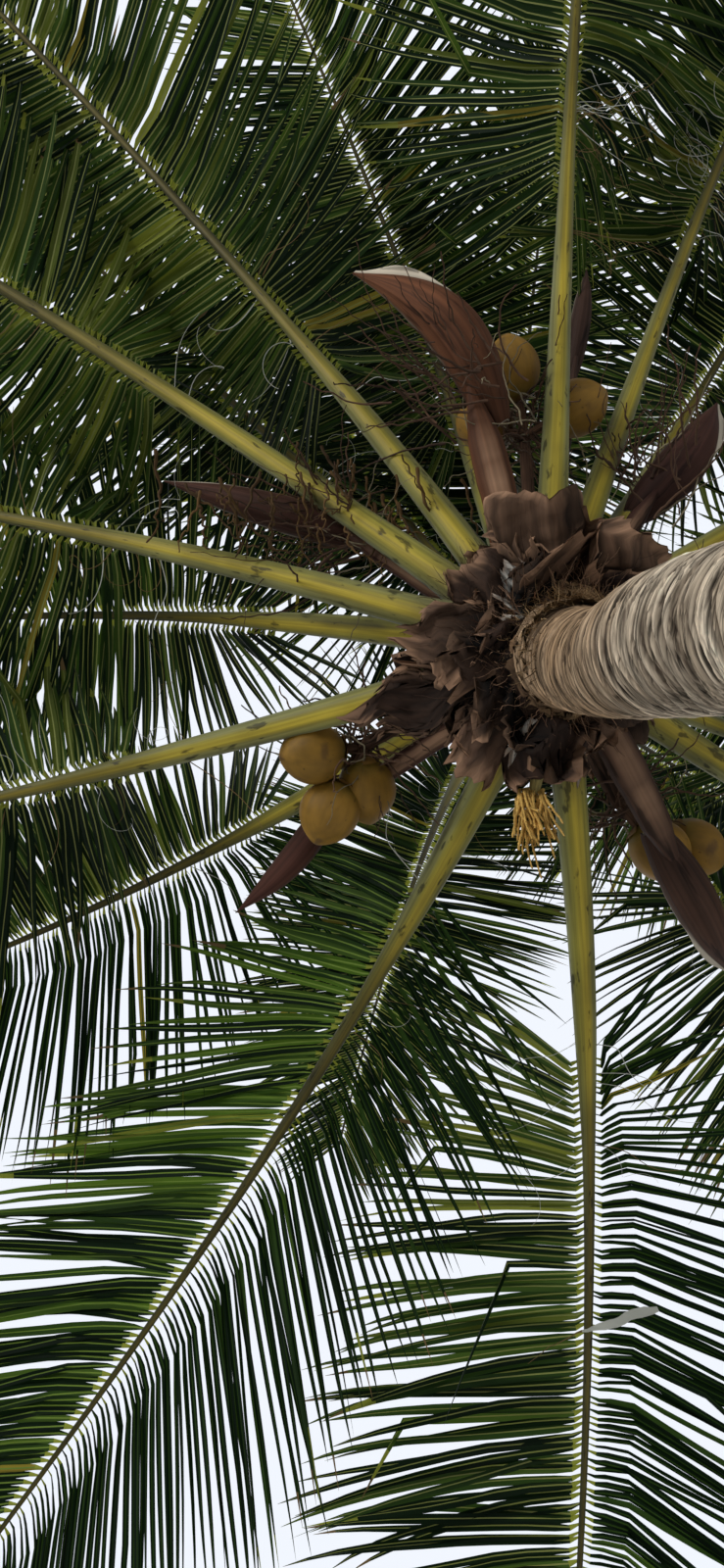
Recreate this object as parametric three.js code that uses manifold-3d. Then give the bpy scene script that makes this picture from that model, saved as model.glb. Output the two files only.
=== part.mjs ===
// Coconut palm: a slim leaning trunk with a swollen foot, a fibrous crown boss with old leaf bases,
// feather fronds in three tiers round a spear leaf, boat-shaped spathes and bunches of coconuts.
// Millimetres and degrees, +Z up, origin at the centre of the flat cut under the trunk.
import * as THREE from 'three';
import { mergeVertices } from 'three/addons/utils/BufferGeometryUtils.js';
import Module from 'manifold-3d';

const wasm = await Module();
wasm.setup();

// Clearance between neighbouring solids, and what a leaflet keeps from its neighbours
const GAP = 0.3;
const LEAF_CLEARANCE = 2;

// Trunk: centre x, centre y, height and radius of its sections, from the ground to the crown
const TRUNK_SECTIONS = [
  [0, 0, 0, 275],
  [-6, 0, 120, 225],
  [-25, 0, 320, 180],
  [-85, -5, 700, 160],
  [-290, -20, 1450, 150],
  [-560, -45, 2300, 143],
  [-790, -55, 3100, 141],
  [-895, -25, 3650, 140],
  [-932, 8, 3950, 118],
  [-942, 2, 4150, 120],
  [-950, -15, 4300, 131],
];
const TRUNK_SIDES = 12;
const TRUNK_RINGS = 24;

// Crown boss: the axis, and the height above the crown's base and radius of its sections
const CROWN = new THREE.Vector3(-950, -30, 4400);
const BOSS_SECTIONS = [
  [-100, 131],
  [-40, 165],
  [60, 215],
  [200, 225],
  [360, 195],
  [520, 150],
  [640, 100],
  [720, 60],
];
const BOSS_LEAN = 15;
const BOSS_SIDES = 12;

// Old leaf bases round the boss: azimuth, height above the crown's base, rise, reach and width.
// Each is a tongue that starts inside the boss
const OLD_BASE_START = 60;
const OLD_BASE_WALL = 26;
const OLD_BASE_DEPTH_SHARE = 0.3;
const OLD_BASES = [
  [262, 10, 22, 400, 250],
  [228, -20, 18, 380, 190],
  [186, -30, 14, 480, 170],
  [160, 10, 10, 590, 150],
  [128, -10, 12, 420, 190],
  [95, -30, 20, 370, 230],
  [52, -40, 18, 330, 190],
  [22, -20, 20, 380, 200],
  [345, -10, 18, 400, 210],
  [305, -10, 20, 400, 200],
];

// Fronds: azimuth, height above the crown's base, elevation at the base and at the tip, length,
// turn of the azimuth along the frond, roll, which lifts the side that lies at azimuth + 90, the
// share of the length that is bare stalk, how many degrees wider than the rule it spreads, and how
// much harder its leaflets hang on the side that lies at azimuth - 90
const FRONDS = [
  [279, 200, 30, -38, 4800, -10, 4, 0.31, 6],
  [297, 270, 38, -30, 4800, -5, 8, 0.36, 0],
  [240, 250, 34, -35, 4800, -25, -6, 0.22, 0],
  [219, 200, 28, -35, 4800, -15, 4, 0.28, 0],
  [198, 150, 25, -40, 4800, -20, 10, 0.25, 0],
  [163, 100, 22, -40, 4800, 10, 6, 0.24, 0],
  [111, 107, 25, -42, 5000, 27, 1, 0.14, -13, 1.1],
  [79, 60, 15, -29, 4800, 24, 3, 0.23, 10, 0.45],
  [30, 160, 22, -38, 4800, -4, 0, 0.26, 0],
  [8, 100, 24, -40, 4700, 0, -6, 0.26, 0],
  [330, 150, 30, -32, 4800, 10, 6, 0.26, 0],
  [191, 400, 48, -30, 4700, -25, -8, 0.19, 0],
  [141, 350, 42, -30, 4700, 28, 14, 0.22, 0, 0.6],
  [314, 400, 48, -30, 4700, -20, 0, 0.26, 0],
  [270, 450, 58, -20, 4600, -30, -10, 0.24, 0],
  [47, 350, 40, -32, 4700, -6, 0, 0.26, 0],
  [16, 410, 46, -28, 4600, 4, 8, 0.26, 0],
  [345, 340, 42, -30, 4700, 6, -8, 0.26, 0],
  [228, 480, 55, -22, 4600, 0, 0, 0.24, 0],
  [95, 520, 74, 5, 4100, 8, 4, 0.22, 0],
  [290, 610, 66, 0, 4200, -14, 0, 0.14, 0],
  [248, 600, 74, 0, 4050, 6, 6, 0.16, 0],
  [20, 600, 74, 0, 4100, 10, 0, 0.22, 0],
];
const START_RADIUS = 120;
const ARCH_POWER = 1.5;
const RIB_STEPS = 60;
const SPLIT_AT = 0.52;
const INNER_SEGMENTS = 5;
const OUTER_SEGMENTS = 4;
const RIB_WIDTH = 105;
const RIB_TIP_WIDTH = 22;
const RIB_FLATNESS = 0.8;

// Leaflets, each standing for a spray of real ones: pairs on each half of a frond, the width of the
// widest, its thickness and root, and how far along it bends
const INNER_PAIRS = 6;
const OUTER_PAIRS = 8;
const LEAFLET_WIDTH = 165;
const LEAFLET_THICKNESS = 15;
const LEAFLET_ROOT_SHARE = 0.35;
const LEAFLET_ROOT_OFFSET = 0.12;
const LEAFLET_KINK = 0.35;
const LEAFLET_STAGGER = 0.22;

// The leaflets along a blade: share of the blade, angle from the rib, rise above the frond's plane
// and length
const BLADE = [
  [0, 76, 73, 800],
  [0.15, 62, 33, 950],
  [0.3, 60, 32, 1100],
  [0.5, 58, 30, 1050],
  [0.7, 51, 20, 900],
  [1, 40, 5, 400],
];
const LONGEST = 1100;

// How hard leaflets hang at the first and the last ones; a rolled frond's lower side hangs harder
const HANG = 0.28;
const HANG_PER_ROLL = 0.03;
const FIRST_HANG = 0.7;
const LAST_HANG = 1.6;

// Shares of its length that a leaflet is tried at until it clears its neighbours, and how far a
// joined body's surface may move when needless corners are dropped
const SHORTER = [1, 0.75, 0.5, 0.32];
const FLATTER = 0.12;

// Spear leaf, still folded, that starts inside the top of the boss
const SPEAR_FOOT = 640;
const SPEAR_LENGTH = 1900;
const SPEAR_RADIUS = 48;

// Spathes, open boats on stalks. Places are azimuth, radius and height above the crown's base, and
// a root is the azimuth and height where the stalk leaves the boss; the stem is the stalk's radius,
// and the bow is how far the boat's middle is bent sideways
const SPATHES = [
  { root: [262, 330], foot: [263, 660, 420], tip: [246, 1240, 560], width: 170, depth: 85, stem: 50, bow: 85 },
  { root: [212, 330], foot: [219, 520, 540], tip: [206, 1200, 640], width: 110, depth: 60, stem: 30 },
  { root: [119, 300], foot: [141, 700, 660], tip: [137, 1180, 580], width: 95, depth: 70, stem: 28, bow: -25 },
  { root: [313, 320], foot: [311, 560, 560], tip: [310, 1050, 700], width: 150, depth: 80, stem: 26, bow: 20 },
  { root: [295, 500], foot: [285, 950, 940], tip: [284, 1380, 1090], width: 70, depth: 50, stem: 22 },
  { root: [46, 70], foot: [57, 600, 170], tip: [57, 1150, 330], width: 140, depth: 85, stem: 46 },
];
const SPATHE_WALL = 14;
const SPATHE_KEEL = 0.4;
const STALK_RADIUS = 22;
const STALK_SINK = 0.09;

// Coconut bunches: root and end of the stalk, and the nuts round that end
const BUNCHES = [
  { root: [152, 240], end: [150, 560, 440], nuts: [[155, 690, 370], [141, 740, 390], [139, 620, 440]] },
  { root: [284, 340], end: [274, 680, 720], nuts: [[270, 880, 690], [285, 790, 690], [265, 740, 810]] },
  { root: [56, 240], end: [58, 530, 400], nuts: [[56, 700, 340], [48, 790, 430]] },
  { root: [352, 240], end: [351, 560, 330], nuts: [[356, 700, 240], [343, 730, 270], [350, 800, 380]] },
];
const NUT_RADIUS = 88;
const NUT_STRETCH = 1.12;

// Young inflorescence: azimuth, radius and height of its stem's end, and its hanging spikelets with
// the fan that they spread over, how far out they lean, their length and their thickness
const FLOWER_AZIMUTH = 97;
const FLOWER_RADIUS = 380;
const FLOWER_HEIGHT = 40;
const SPIKELETS = 7;
const SPIKELET_FAN = 18;
const SPIKELET_LEAN = 110;
const SPIKELET_LENGTH = 300;
const SPIKELET_RADIUS = 14;

const bark = new THREE.MeshStandardMaterial({ color: 0x8b8274, roughness: 0.95, metalness: 0 });
const fibre = new THREE.MeshStandardMaterial({ color: 0x4b3524, roughness: 0.95, metalness: 0 });
const leaf = new THREE.MeshStandardMaterial({ color: 0x3f5a24, roughness: 0.6, metalness: 0 });
const youngLeaf = new THREE.MeshStandardMaterial({ color: 0x8fa63f, roughness: 0.55, metalness: 0 });
const spathe = new THREE.MeshStandardMaterial({ color: 0x5f3a2a, roughness: 0.7, metalness: 0 });
const husk = new THREE.MeshStandardMaterial({ color: 0xa8813c, roughness: 0.55, metalness: 0 });
const flower = new THREE.MeshStandardMaterial({ color: 0xc9a93c, roughness: 0.8, metalness: 0 });

const UP = new THREE.Vector3(0, 0, 1);
const radians = THREE.MathUtils.degToRad;

// A point round the crown's axis, by azimuth, radius and height above the crown's base
function roundCrown(azimuth, radius, height) {
  const a = radians(azimuth);
  return new THREE.Vector3(radius * Math.cos(a), radius * Math.sin(a), height).add(CROWN);
}

// A unit cylinder or cone becomes a body: place(t, x, z) gives the point for the fraction t of its
// length and the direction x, z from its axis
function shaped(geometry, place) {
  const position = geometry.attributes.position;
  for (let i = 0; i < position.count; i += 1) {
    const x = position.getX(i);
    const z = position.getZ(i);
    const radius = Math.hypot(x, z);
    const reach = radius > 1e-6 ? 1 / radius : 0;
    const point = place(position.getY(i) + 0.5, x * reach, z * reach);
    position.setXYZ(i, point.x, point.y, point.z);
  }
  return solid(geometry);
}

function solid(geometry) {
  geometry.deleteAttribute('normal');
  geometry.deleteAttribute('uv');
  const merged = mergeVertices(geometry);
  return new wasm.Manifold(new wasm.Mesh({
    numProp: 3,
    vertProperties: new Float32Array(merged.attributes.position.array),
    triVerts: new Uint32Array(merged.index.array),
  }));
}

function meshOf(name, manifold, material) {
  const data = manifold.getMesh();
  const geometry = new THREE.BufferGeometry();
  geometry.setAttribute('position', new THREE.BufferAttribute(data.vertProperties, data.numProp));
  geometry.setIndex(new THREE.BufferAttribute(data.triVerts, 1));
  geometry.computeVertexNormals();
  const mesh = new THREE.Mesh(geometry, material);
  mesh.name = name;
  return mesh;
}

function joined(solids) {
  return solids.reduce((whole, next) => whole.add(next));
}

function largest(manifold) {
  return manifold.decompose().reduce((best, next) => (next.volume() > best.volume() ? next : best));
}

// Rows of numbers give a value at any height in between, by a smooth curve through them
function sectionCurve(rows) {
  return new THREE.CatmullRomCurve3(rows.map((row) => new THREE.Vector3(...row)), false, 'centripetal');
}

function trunkSolid() {
  const centres = sectionCurve(TRUNK_SECTIONS.map(([x, y, z]) => [x, y, z]));
  const radii = sectionCurve(TRUNK_SECTIONS.map(([, , z, r]) => [r, 0, z]));
  return shaped(new THREE.CylinderGeometry(1, 1, 1, TRUNK_SIDES, TRUNK_RINGS), (t, x, z) => {
    const centre = centres.getPoint(t);
    const radius = radii.getPoint(t).x;
    return new THREE.Vector3(centre.x + radius * z, centre.y + radius * x, centre.z);
  });
}

function bossSolid(grow) {
  const radii = sectionCurve(BOSS_SECTIONS.map(([h, r]) => [r, 0, h]));
  const rings = BOSS_SECTIONS.length + 1;
  return shaped(new THREE.CylinderGeometry(1, 1, 1, BOSS_SIDES, rings), (t, x, z) => {
    const section = radii.getPoint(t);
    const radius = section.x + grow;
    const lean = BOSS_LEAN * (1 - t);
    const height = section.z + (t === 0 ? GAP - grow : 0) + (t === 1 ? grow : 0);
    return new THREE.Vector3(radius * z, radius * x + lean, height).add(CROWN);
  });
}

// An old leaf base is a broad tongue, hollow above, that starts inside the boss
function oldBase([azimuth, height, rise, reach, width], grow) {
  const a = radians(azimuth);
  const side = new THREE.Vector3(-Math.sin(a), Math.cos(a), 0);
  const depth = width * OLD_BASE_DEPTH_SHARE;
  const room = 3 * grow;
  return shaped(new THREE.CylinderGeometry(1, 1, 1, 5, 3), (t, x, z) => {
    const out = OLD_BASE_START + (reach - OLD_BASE_START) * t + (t === 1 ? room : 0);
    const climb = height + out * Math.tan(radians(rise)) * (0.6 + 0.5 * t);
    const half = (width / 2) * (1 - 0.45 * t * t) + room;
    const hollow = (z < 0 ? z * depth : -z * (depth - OLD_BASE_WALL)) * (1 - 0.3 * t);
    return roundCrown(azimuth, out, climb + hollow + room * Math.sign(z)).addScaledVector(side, -x * half);
  });
}

// The rib of a frond as a function of the fraction of its length: point, heading, side and up
function ribOf([azimuth, height, lift, droop, length, turn, roll, bare]) {
  const azimuthAt = (u) => radians(azimuth + turn * u);
  const headingAt = (u) => {
    const e = radians(lift + (droop - lift) * u ** ARCH_POWER);
    const a = azimuthAt(u);
    return new THREE.Vector3(Math.cos(e) * Math.cos(a), Math.cos(e) * Math.sin(a), Math.sin(e));
  };
  const points = [roundCrown(azimuth, START_RADIUS, height)];
  for (let i = 0; i < RIB_STEPS; i += 1) {
    const step = headingAt((i + 0.5) / RIB_STEPS).multiplyScalar(length / RIB_STEPS);
    points.push(points[i].clone().add(step));
  }
  return (u) => {
    const place = u * RIB_STEPS;
    const i = Math.min(Math.floor(place), RIB_STEPS - 1);
    const heading = headingAt(u);
    const flat = new THREE.Vector3(-Math.sin(azimuthAt(u)), Math.cos(azimuthAt(u)), 0);
    const side = flat.applyAxisAngle(heading, radians(roll) * Math.min(1, u / bare));
    return {
      point: points[i].clone().lerp(points[i + 1], place - i),
      heading,
      side,
      up: heading.clone().cross(side),
    };
  };
}

function ribWidth(u) {
  return RIB_TIP_WIDTH + (RIB_WIDTH - RIB_TIP_WIDTH) * (1 - u) ** 0.9;
}

function ribSolid(rib, from, to, segments, grow) {
  return shaped(new THREE.CylinderGeometry(1, 1, 1, 3, segments), (t, x, z) => {
    const u = from + (to - from) * t;
    const { point, side, up } = rib(u);
    const half = ribWidth(u) / 2;
    return point
      .addScaledVector(side, (-x * (half + 2 * grow)) / Math.sin(Math.PI / 3))
      .addScaledVector(up, z * (half * RIB_FLATNESS + 2 * grow));
  });
}

// A column of the blade's table at any share of the blade
function bladeAt(v, column) {
  const next = Math.max(1, BLADE.findIndex(([share]) => share >= v));
  const [low, high] = [BLADE[next - 1], BLADE[next]];
  return THREE.MathUtils.mapLinear(v, low[0], high[0], low[column], high[column]);
}

// One leaflet, a three-sided blade that leaves the rib sideways and forwards and bends down
function leafletSolid(rib, { roll, bare, spread, limp }, u, hand, shorter) {
  const v = (u - bare) / (1 - bare);
  const { point, heading, side, up } = rib(u);
  const sweep = radians(bladeAt(v, 1) + spread * (1 - v / 2));
  const lift = radians(bladeAt(v, 2));
  const extra = hand < 0 ? limp : 0;
  const harder = THREE.MathUtils.lerp(FIRST_HANG, LAST_HANG, v);
  const hang = (HANG + extra - hand * roll * HANG_PER_ROLL) * harder;
  const outward = side.clone().multiplyScalar(hand * Math.cos(lift)).addScaledVector(up, Math.sin(lift));
  const first = heading.clone().multiplyScalar(Math.cos(sweep)).addScaledVector(outward, Math.sin(sweep));
  const second = first.clone().addScaledVector(UP, -hang).normalize();
  const length = bladeAt(v, 3) * shorter;
  const root = point.clone().addScaledVector(side, hand * ribWidth(u) * LEAFLET_ROOT_OFFSET);
  const kink = point.clone().addScaledVector(first, length * LEAFLET_KINK);
  const tip = kink.clone().addScaledVector(second, length * (1 - LEAFLET_KINK));
  const fullness = 0.45 + 0.55 * (bladeAt(v, 3) / LONGEST);
  const breadth = (LEAFLET_WIDTH * fullness * (0.6 + 0.4 * shorter)) / Math.sin(sweep);
  return shaped(new THREE.ConeGeometry(1, 1, 3, 2), (t, x, z) => {
    const centre = t < 0.25 ? root : t < 0.75 ? kink : tip;
    const share = t < 0.25 ? LEAFLET_ROOT_SHARE : 1;
    return centre.clone()
      .addScaledVector(heading, (hand * x * breadth * share) / Math.sqrt(3))
      .addScaledVector(up, (z * LEAFLET_THICKNESS * share) / 1.5);
  });
}

// Everything already in its place, by the node that it belongs to
const placed = [];

function boxesApart(a, b) {
  return [0, 1, 2].some((i) => a.min[i] > b.max[i] + LEAF_CLEARANCE || b.min[i] > a.max[i] + LEAF_CLEARANCE);
}

function put(node, manifold) {
  placed.push({ node, manifold, box: manifold.boundingBox() });
  return manifold;
}

function isClear(node, manifold) {
  const box = manifold.boundingBox();
  return placed.every((other) => other.node === node
    || boxesApart(box, other.box)
    || manifold.minGap(other.manifold, LEAF_CLEARANCE) >= LEAF_CLEARANCE);
}

function spatheSolid({ root, foot: footPlace, tip: tipPlace, width, depth, stem, bow = 0 }) {
  const foot = roundCrown(...footPlace);
  const tip = roundCrown(...tipPlace);
  const heading = tip.clone().sub(foot).normalize();
  const side = UP.clone().cross(heading).normalize();
  const up = heading.clone().cross(side);
  const boat = shaped(new THREE.CylinderGeometry(1, 1, 1, 6, 5), (t, x, z) => {
    const full = Math.sin(Math.PI * Math.min(0.97, 0.12 + 0.87 * t)) ** 0.7;
    const hollow = z < 0 ? z * depth * full : -z * Math.max(0, depth * full - SPATHE_WALL);
    const curl = depth * 0.5 * (2 * t - 1) ** 2;
    return foot.clone().lerp(tip, t)
      .addScaledVector(side, bow * Math.sin(Math.PI * t) - (x * full * width) / 2)
      .addScaledVector(up, hollow + curl);
  });
  const keel = foot.clone().addScaledVector(up, -SPATHE_KEEL * depth);
  return boat.add(stalkSolid(roundCrown(root[0], START_RADIUS, root[1]), keel, tip, stem));
}

// A stalk from inside the boss to a foot, with its end sunk a little way towards what it carries
function stalkSolid(from, foot, towards, radius = STALK_RADIUS) {
  const end = foot.clone().lerp(towards, STALK_SINK);
  const heading = end.clone().sub(from).normalize();
  const side = UP.clone().cross(heading).normalize();
  const up = heading.clone().cross(side);
  return shaped(new THREE.CylinderGeometry(1, 1, 1, 4, 1), (t, x, z) => from.clone().lerp(end, t)
    .addScaledVector(side, -x * radius * (1.2 - 0.4 * t))
    .addScaledVector(up, z * radius * (1.2 - 0.4 * t)));
}

function nutSolid(centre, hub) {
  const away = centre.clone().sub(hub).normalize();
  const turn = new THREE.Quaternion().setFromUnitVectors(new THREE.Vector3(0, 1, 0), away);
  const geometry = new THREE.SphereGeometry(NUT_RADIUS, 7, 5);
  geometry.scale(1, NUT_STRETCH, 1);
  geometry.applyQuaternion(turn);
  geometry.translate(centre.x, centre.y, centre.z);
  return solid(geometry);
}

function bunchSolid({ root, end, nuts }) {
  const hub = roundCrown(...end);
  const parts = [stalkSolid(roundCrown(root[0], START_RADIUS, root[1]), hub, hub)];
  for (const nut of nuts) {
    const centre = roundCrown(...nut);
    parts.push(nutSolid(centre, hub), stalkSolid(hub, centre, hub));
  }
  return joined(parts);
}

function flowerSolid() {
  const hub = roundCrown(FLOWER_AZIMUTH, FLOWER_RADIUS, FLOWER_HEIGHT);
  const parts = [stalkSolid(roundCrown(FLOWER_AZIMUTH, START_RADIUS, FLOWER_HEIGHT - 40), hub, hub)];
  for (let i = 0; i < SPIKELETS; i += 1) {
    const azimuth = FLOWER_AZIMUTH + SPIKELET_FAN * (i / (SPIKELETS - 1) - 0.5);
    const radius = FLOWER_RADIUS + SPIKELET_LEAN + 50 * Math.sin(i * 2.4);
    const tip = roundCrown(azimuth, radius, FLOWER_HEIGHT - SPIKELET_LENGTH * (0.8 + 0.2 * Math.cos(i)));
    parts.push(shaped(new THREE.ConeGeometry(1, 1, 3, 1), (t, x, z) => {
      const radiusHere = SPIKELET_RADIUS * (1 - t);
      return hub.clone().lerp(tip, t).add(new THREE.Vector3(x * radiusHere, z * radiusHere, 0));
    }));
  }
  return joined(parts);
}

const palm = new THREE.Group();
const boss = bossSolid(0);
const bossRoom = bossSolid(GAP);
const ribs = FRONDS.map(ribOf);

palm.add(meshOf('trunk', put('trunk', trunkSolid()), bark));

// The ribs come first, so that no leaflet crosses one
const halves = [];
ribs.forEach((rib, i) => {
  const name = `frond_${String(i + 1).padStart(2, '0')}`;
  const [, , , , length, , roll, bare, spread, limp = 0] = FRONDS[i];
  const gapShare = GAP / length;
  const whole = { rib, pose: { roll, bare, spread, limp } };
  const innerRib = largest(ribSolid(rib, 0, SPLIT_AT, INNER_SEGMENTS, 0).subtract(bossRoom));
  const outerRib = ribSolid(rib, SPLIT_AT + gapShare, 1, OUTER_SEGMENTS, 0);
  const inner = { base: innerRib, from: bare, to: SPLIT_AT, pairs: INNER_PAIRS };
  const outer = { base: outerRib, from: SPLIT_AT, to: 1, pairs: OUTER_PAIRS };
  halves.push({ node: `${name}_inner`, ...whole, ...inner });
  halves.push({ node: `${name}_outer`, ...whole, ...outer });
});

for (const { node, base } of halves) {
  put(node, base);
}

const petiolesRoom = ribs.map((rib) => ribSolid(rib, 0, SPLIT_AT, INNER_SEGMENTS, GAP));
const oldBases = joined(OLD_BASES.map((row) => oldBase(row, 0))).subtract(joined(petiolesRoom));
const bossWhole = largest(boss.add(oldBases)).simplify(FLATTER);
const carriersRoom = joined([bossRoom, ...OLD_BASES.map((row) => oldBase(row, GAP))]);
palm.add(meshOf('crown_boss', put('crown_boss', bossWhole), fibre));

const spear = shaped(new THREE.ConeGeometry(1, 1, 6, 2), (t, x, z) => {
  const radius = SPEAR_RADIUS * (1 - t) ** 0.6;
  return roundCrown(0, 0, SPEAR_FOOT + SPEAR_LENGTH * t).add(new THREE.Vector3(z * radius, x * radius, 0));
}).subtract(bossRoom);
palm.add(meshOf('spear_leaf', put('spear_leaf', largest(spear)), youngLeaf));

function addCarried(name, manifold, material) {
  const cut = largest(manifold.subtract(carriersRoom)).simplify(FLATTER);
  palm.add(meshOf(name, put(name, cut), material));
}

SPATHES.forEach((row, i) => addCarried(`spathe_${i + 1}`, spatheSolid(row), spathe));
BUNCHES.forEach((row, i) => addCarried(`coconut_bunch_${i + 1}`, bunchSolid(row), husk));
addCarried('inflorescence', flowerSolid(), flower);

for (const { node, rib, pose, base, from, to, pairs } of halves) {
  const parts = [base];
  for (let i = 0; i < pairs; i += 1) {
    for (const hand of [1, -1]) {
      const u = from + ((to - from) * (i + 0.5 + LEAFLET_STAGGER * hand)) / pairs;
      for (const shorter of SHORTER) {
        const leaflet = leafletSolid(rib, pose, u, hand, shorter);
        if (isClear(node, leaflet)) {
          parts.push(put(node, leaflet));
          break;
        }
      }
    }
  }
  palm.add(meshOf(node, largest(joined(parts)).simplify(FLATTER), leaf));
}

export default palm;
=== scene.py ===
"""Looks of the coconut palm: feather fronds of narrow leaflets, stalks, ringed trunk, torn leaf bases,
spathes, coconuts and flower strings. Metres, in the frame's axes."""
import math

import bpy
import numpy as np
from mathutils import Matrix, Vector


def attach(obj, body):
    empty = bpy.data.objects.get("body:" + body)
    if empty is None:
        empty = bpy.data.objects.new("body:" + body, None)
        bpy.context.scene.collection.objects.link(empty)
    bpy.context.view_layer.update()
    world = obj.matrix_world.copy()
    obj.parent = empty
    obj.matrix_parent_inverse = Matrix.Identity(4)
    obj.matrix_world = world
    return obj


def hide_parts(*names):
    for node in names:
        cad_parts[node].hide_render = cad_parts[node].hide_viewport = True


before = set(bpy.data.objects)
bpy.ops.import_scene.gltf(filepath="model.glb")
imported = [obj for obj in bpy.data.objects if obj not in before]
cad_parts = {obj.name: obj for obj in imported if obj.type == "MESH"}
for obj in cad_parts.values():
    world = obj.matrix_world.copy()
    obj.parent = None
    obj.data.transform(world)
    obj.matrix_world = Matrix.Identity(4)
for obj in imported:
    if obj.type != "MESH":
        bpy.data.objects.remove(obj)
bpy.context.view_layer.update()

UP = np.array([0.0, 0.0, 1.0])
CROWN = np.array([-0.95, -0.03, 4.4])

# The camera: where it stands, the picture point that lies straight above it, and its lens
EYE = (-1.60, 0.04, 1.50)
IMAGE_SIZE = (739, 1600)
ZENITH = (310, 690)
LENS = 26.0
SENSOR = 36.0


def unit(vectors):
    return vectors / np.maximum(np.linalg.norm(vectors, axis=-1, keepdims=True), 1e-12)


def times(vectors, amounts):
    """Vectors scaled by an array of amounts."""
    return vectors * np.asarray(amounts)[..., None]


def stacked(x, y, z):
    return np.stack(np.broadcast_arrays(x, y, z), axis=-1)


def outwards(a):
    """The level direction at angle a."""
    return stacked(np.cos(a), np.sin(a), 0.0)


def sideways(a):
    return stacked(-np.sin(a), np.cos(a), 0.0)


def circle(sides):
    return np.arange(sides) * 2 * np.pi / sides


def over_tube(rings, sides):
    """Places along a tube from 0 to 1, as a column, and the angles round it."""
    return np.linspace(0, 1, rings)[:, None], circle(sides)


def over_sheet(rows, columns):
    """Places along a sheet from 0 to 1, as a column, and across it from -1 to 1."""
    return np.linspace(0, 1, rows)[:, None], np.linspace(-1, 1, columns)


def rotated(vectors, axes, angles):
    """Vectors turned about unit axes by angles in radians."""
    c = np.cos(angles)[..., None]
    s = np.sin(angles)[..., None]
    along = np.sum(vectors * axes, axis=-1, keepdims=True)
    return vectors * c + np.cross(axes, vectors) * s + axes * along * (1 - c)


def smoothstep(low, high, x):
    t = np.clip((x - low) / (high - low), 0, 1)
    return t * t * (3 - 2 * t)


def mix(a, b, share):
    return times(a, 1 - np.asarray(share)) + times(b, share)


def waves(rng, x):
    """A smooth random curve over x, about -1 to 1."""
    total = np.zeros_like(x, dtype=float)
    for k in range(5):
        total += np.sin(x * (1.7 ** k) + rng.uniform(0, 7)) / (1.35 ** k)
    return total / 2.2


def ripples(rng, a, b, count, a_rate, b_rate):
    """A smooth random field over a, which goes round once in 2 pi, and b, about -1 to 1."""
    total = 0.0
    for _ in range(count):
        turns = rng.integers(-a_rate, a_rate + 1)
        total = total + np.sin(turns * a + rng.normal(0, b_rate) * b + rng.uniform(0, 7))
    return total / math.sqrt(count) * 0.8


def smooth_rows(x, rows, column):
    """Values at x of a smooth curve through one column of the rows, whose first column is x."""
    rows = np.array(rows)
    places = rows[:, 0]
    values = rows[:, column]
    slopes = np.gradient(values, places)
    i = np.clip(np.searchsorted(places, x) - 1, 0, len(places) - 2)
    step = places[i + 1] - places[i]
    t = (x - places[i]) / step
    return (values[i] * (1 + 2 * t) * (1 - t) ** 2 + slopes[i] * step * t * (1 - t) ** 2
            + values[i + 1] * t * t * (3 - 2 * t) - slopes[i + 1] * step * t * t * (1 - t))


def walked(starts, moves):
    """Paths from starts (n, 3) by moves (n, steps, 3)."""
    starts = starts[:, None, :]
    return np.concatenate([starts, starts + np.cumsum(moves, axis=1)], axis=1)


def wandering(rng, starts, headings, lengths, steps, droop, wander):
    """Paths (n, steps + 1, 3) that leave their starts, wander and sink."""
    count = len(starts)
    s = (np.arange(steps) + 0.5) / steps
    push = np.cumsum(rng.normal(0, wander / math.sqrt(steps), (count, steps, 3)), axis=1)
    sink = UP * s[None, :, None] * np.reshape(droop, (-1, 1, 1))
    direction = unit(headings[:, None, :] + push - sink)
    return walked(starts, direction * (lengths / steps)[:, None, None])


def crumpled(rng, points, size, depth, folds):
    """Points moved by sharp random folds about size apart and up to depth deep."""
    moved = np.array(points)
    for _ in range(folds):
        run = unit(rng.normal(0, 1, 3)) * 2 * np.pi / (size * rng.uniform(0.6, 1.8))
        fold = np.arcsin(np.sin(points @ run + rng.uniform(0, 7))) * 2 / np.pi
        moved += times(unit(rng.normal(0, 1, 3)), fold) * depth / math.sqrt(folds) * 1.6
    return moved


def both_faces(low, high):
    """Columns that run over one face of a sheet and back over the other."""
    return np.concatenate([low, high[:, ::-1]], axis=1)


def ribbon(path, half):
    """A level ribbon along a path, with half its width at each point."""
    across = times(unit(np.cross(unit(np.gradient(path, axis=0)), UP)), half)
    return np.stack([path - across, path + across], axis=1)


def round_crown(azimuth, radius, height):
    """A point round the crown's axis: azimuth in degrees, radius and height above its base in metres."""
    a = np.radians(azimuth)
    return CROWN + stacked(radius * np.cos(a), radius * np.sin(a), height)


def row_point(azimuth, radius, height):
    """The same from a row of values in millimetres."""
    return round_crown(azimuth, radius / 1000, height / 1000)


def linked(name, data):
    made = bpy.data.objects.new(name, data)
    bpy.context.scene.collection.objects.link(made)
    return made


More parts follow.
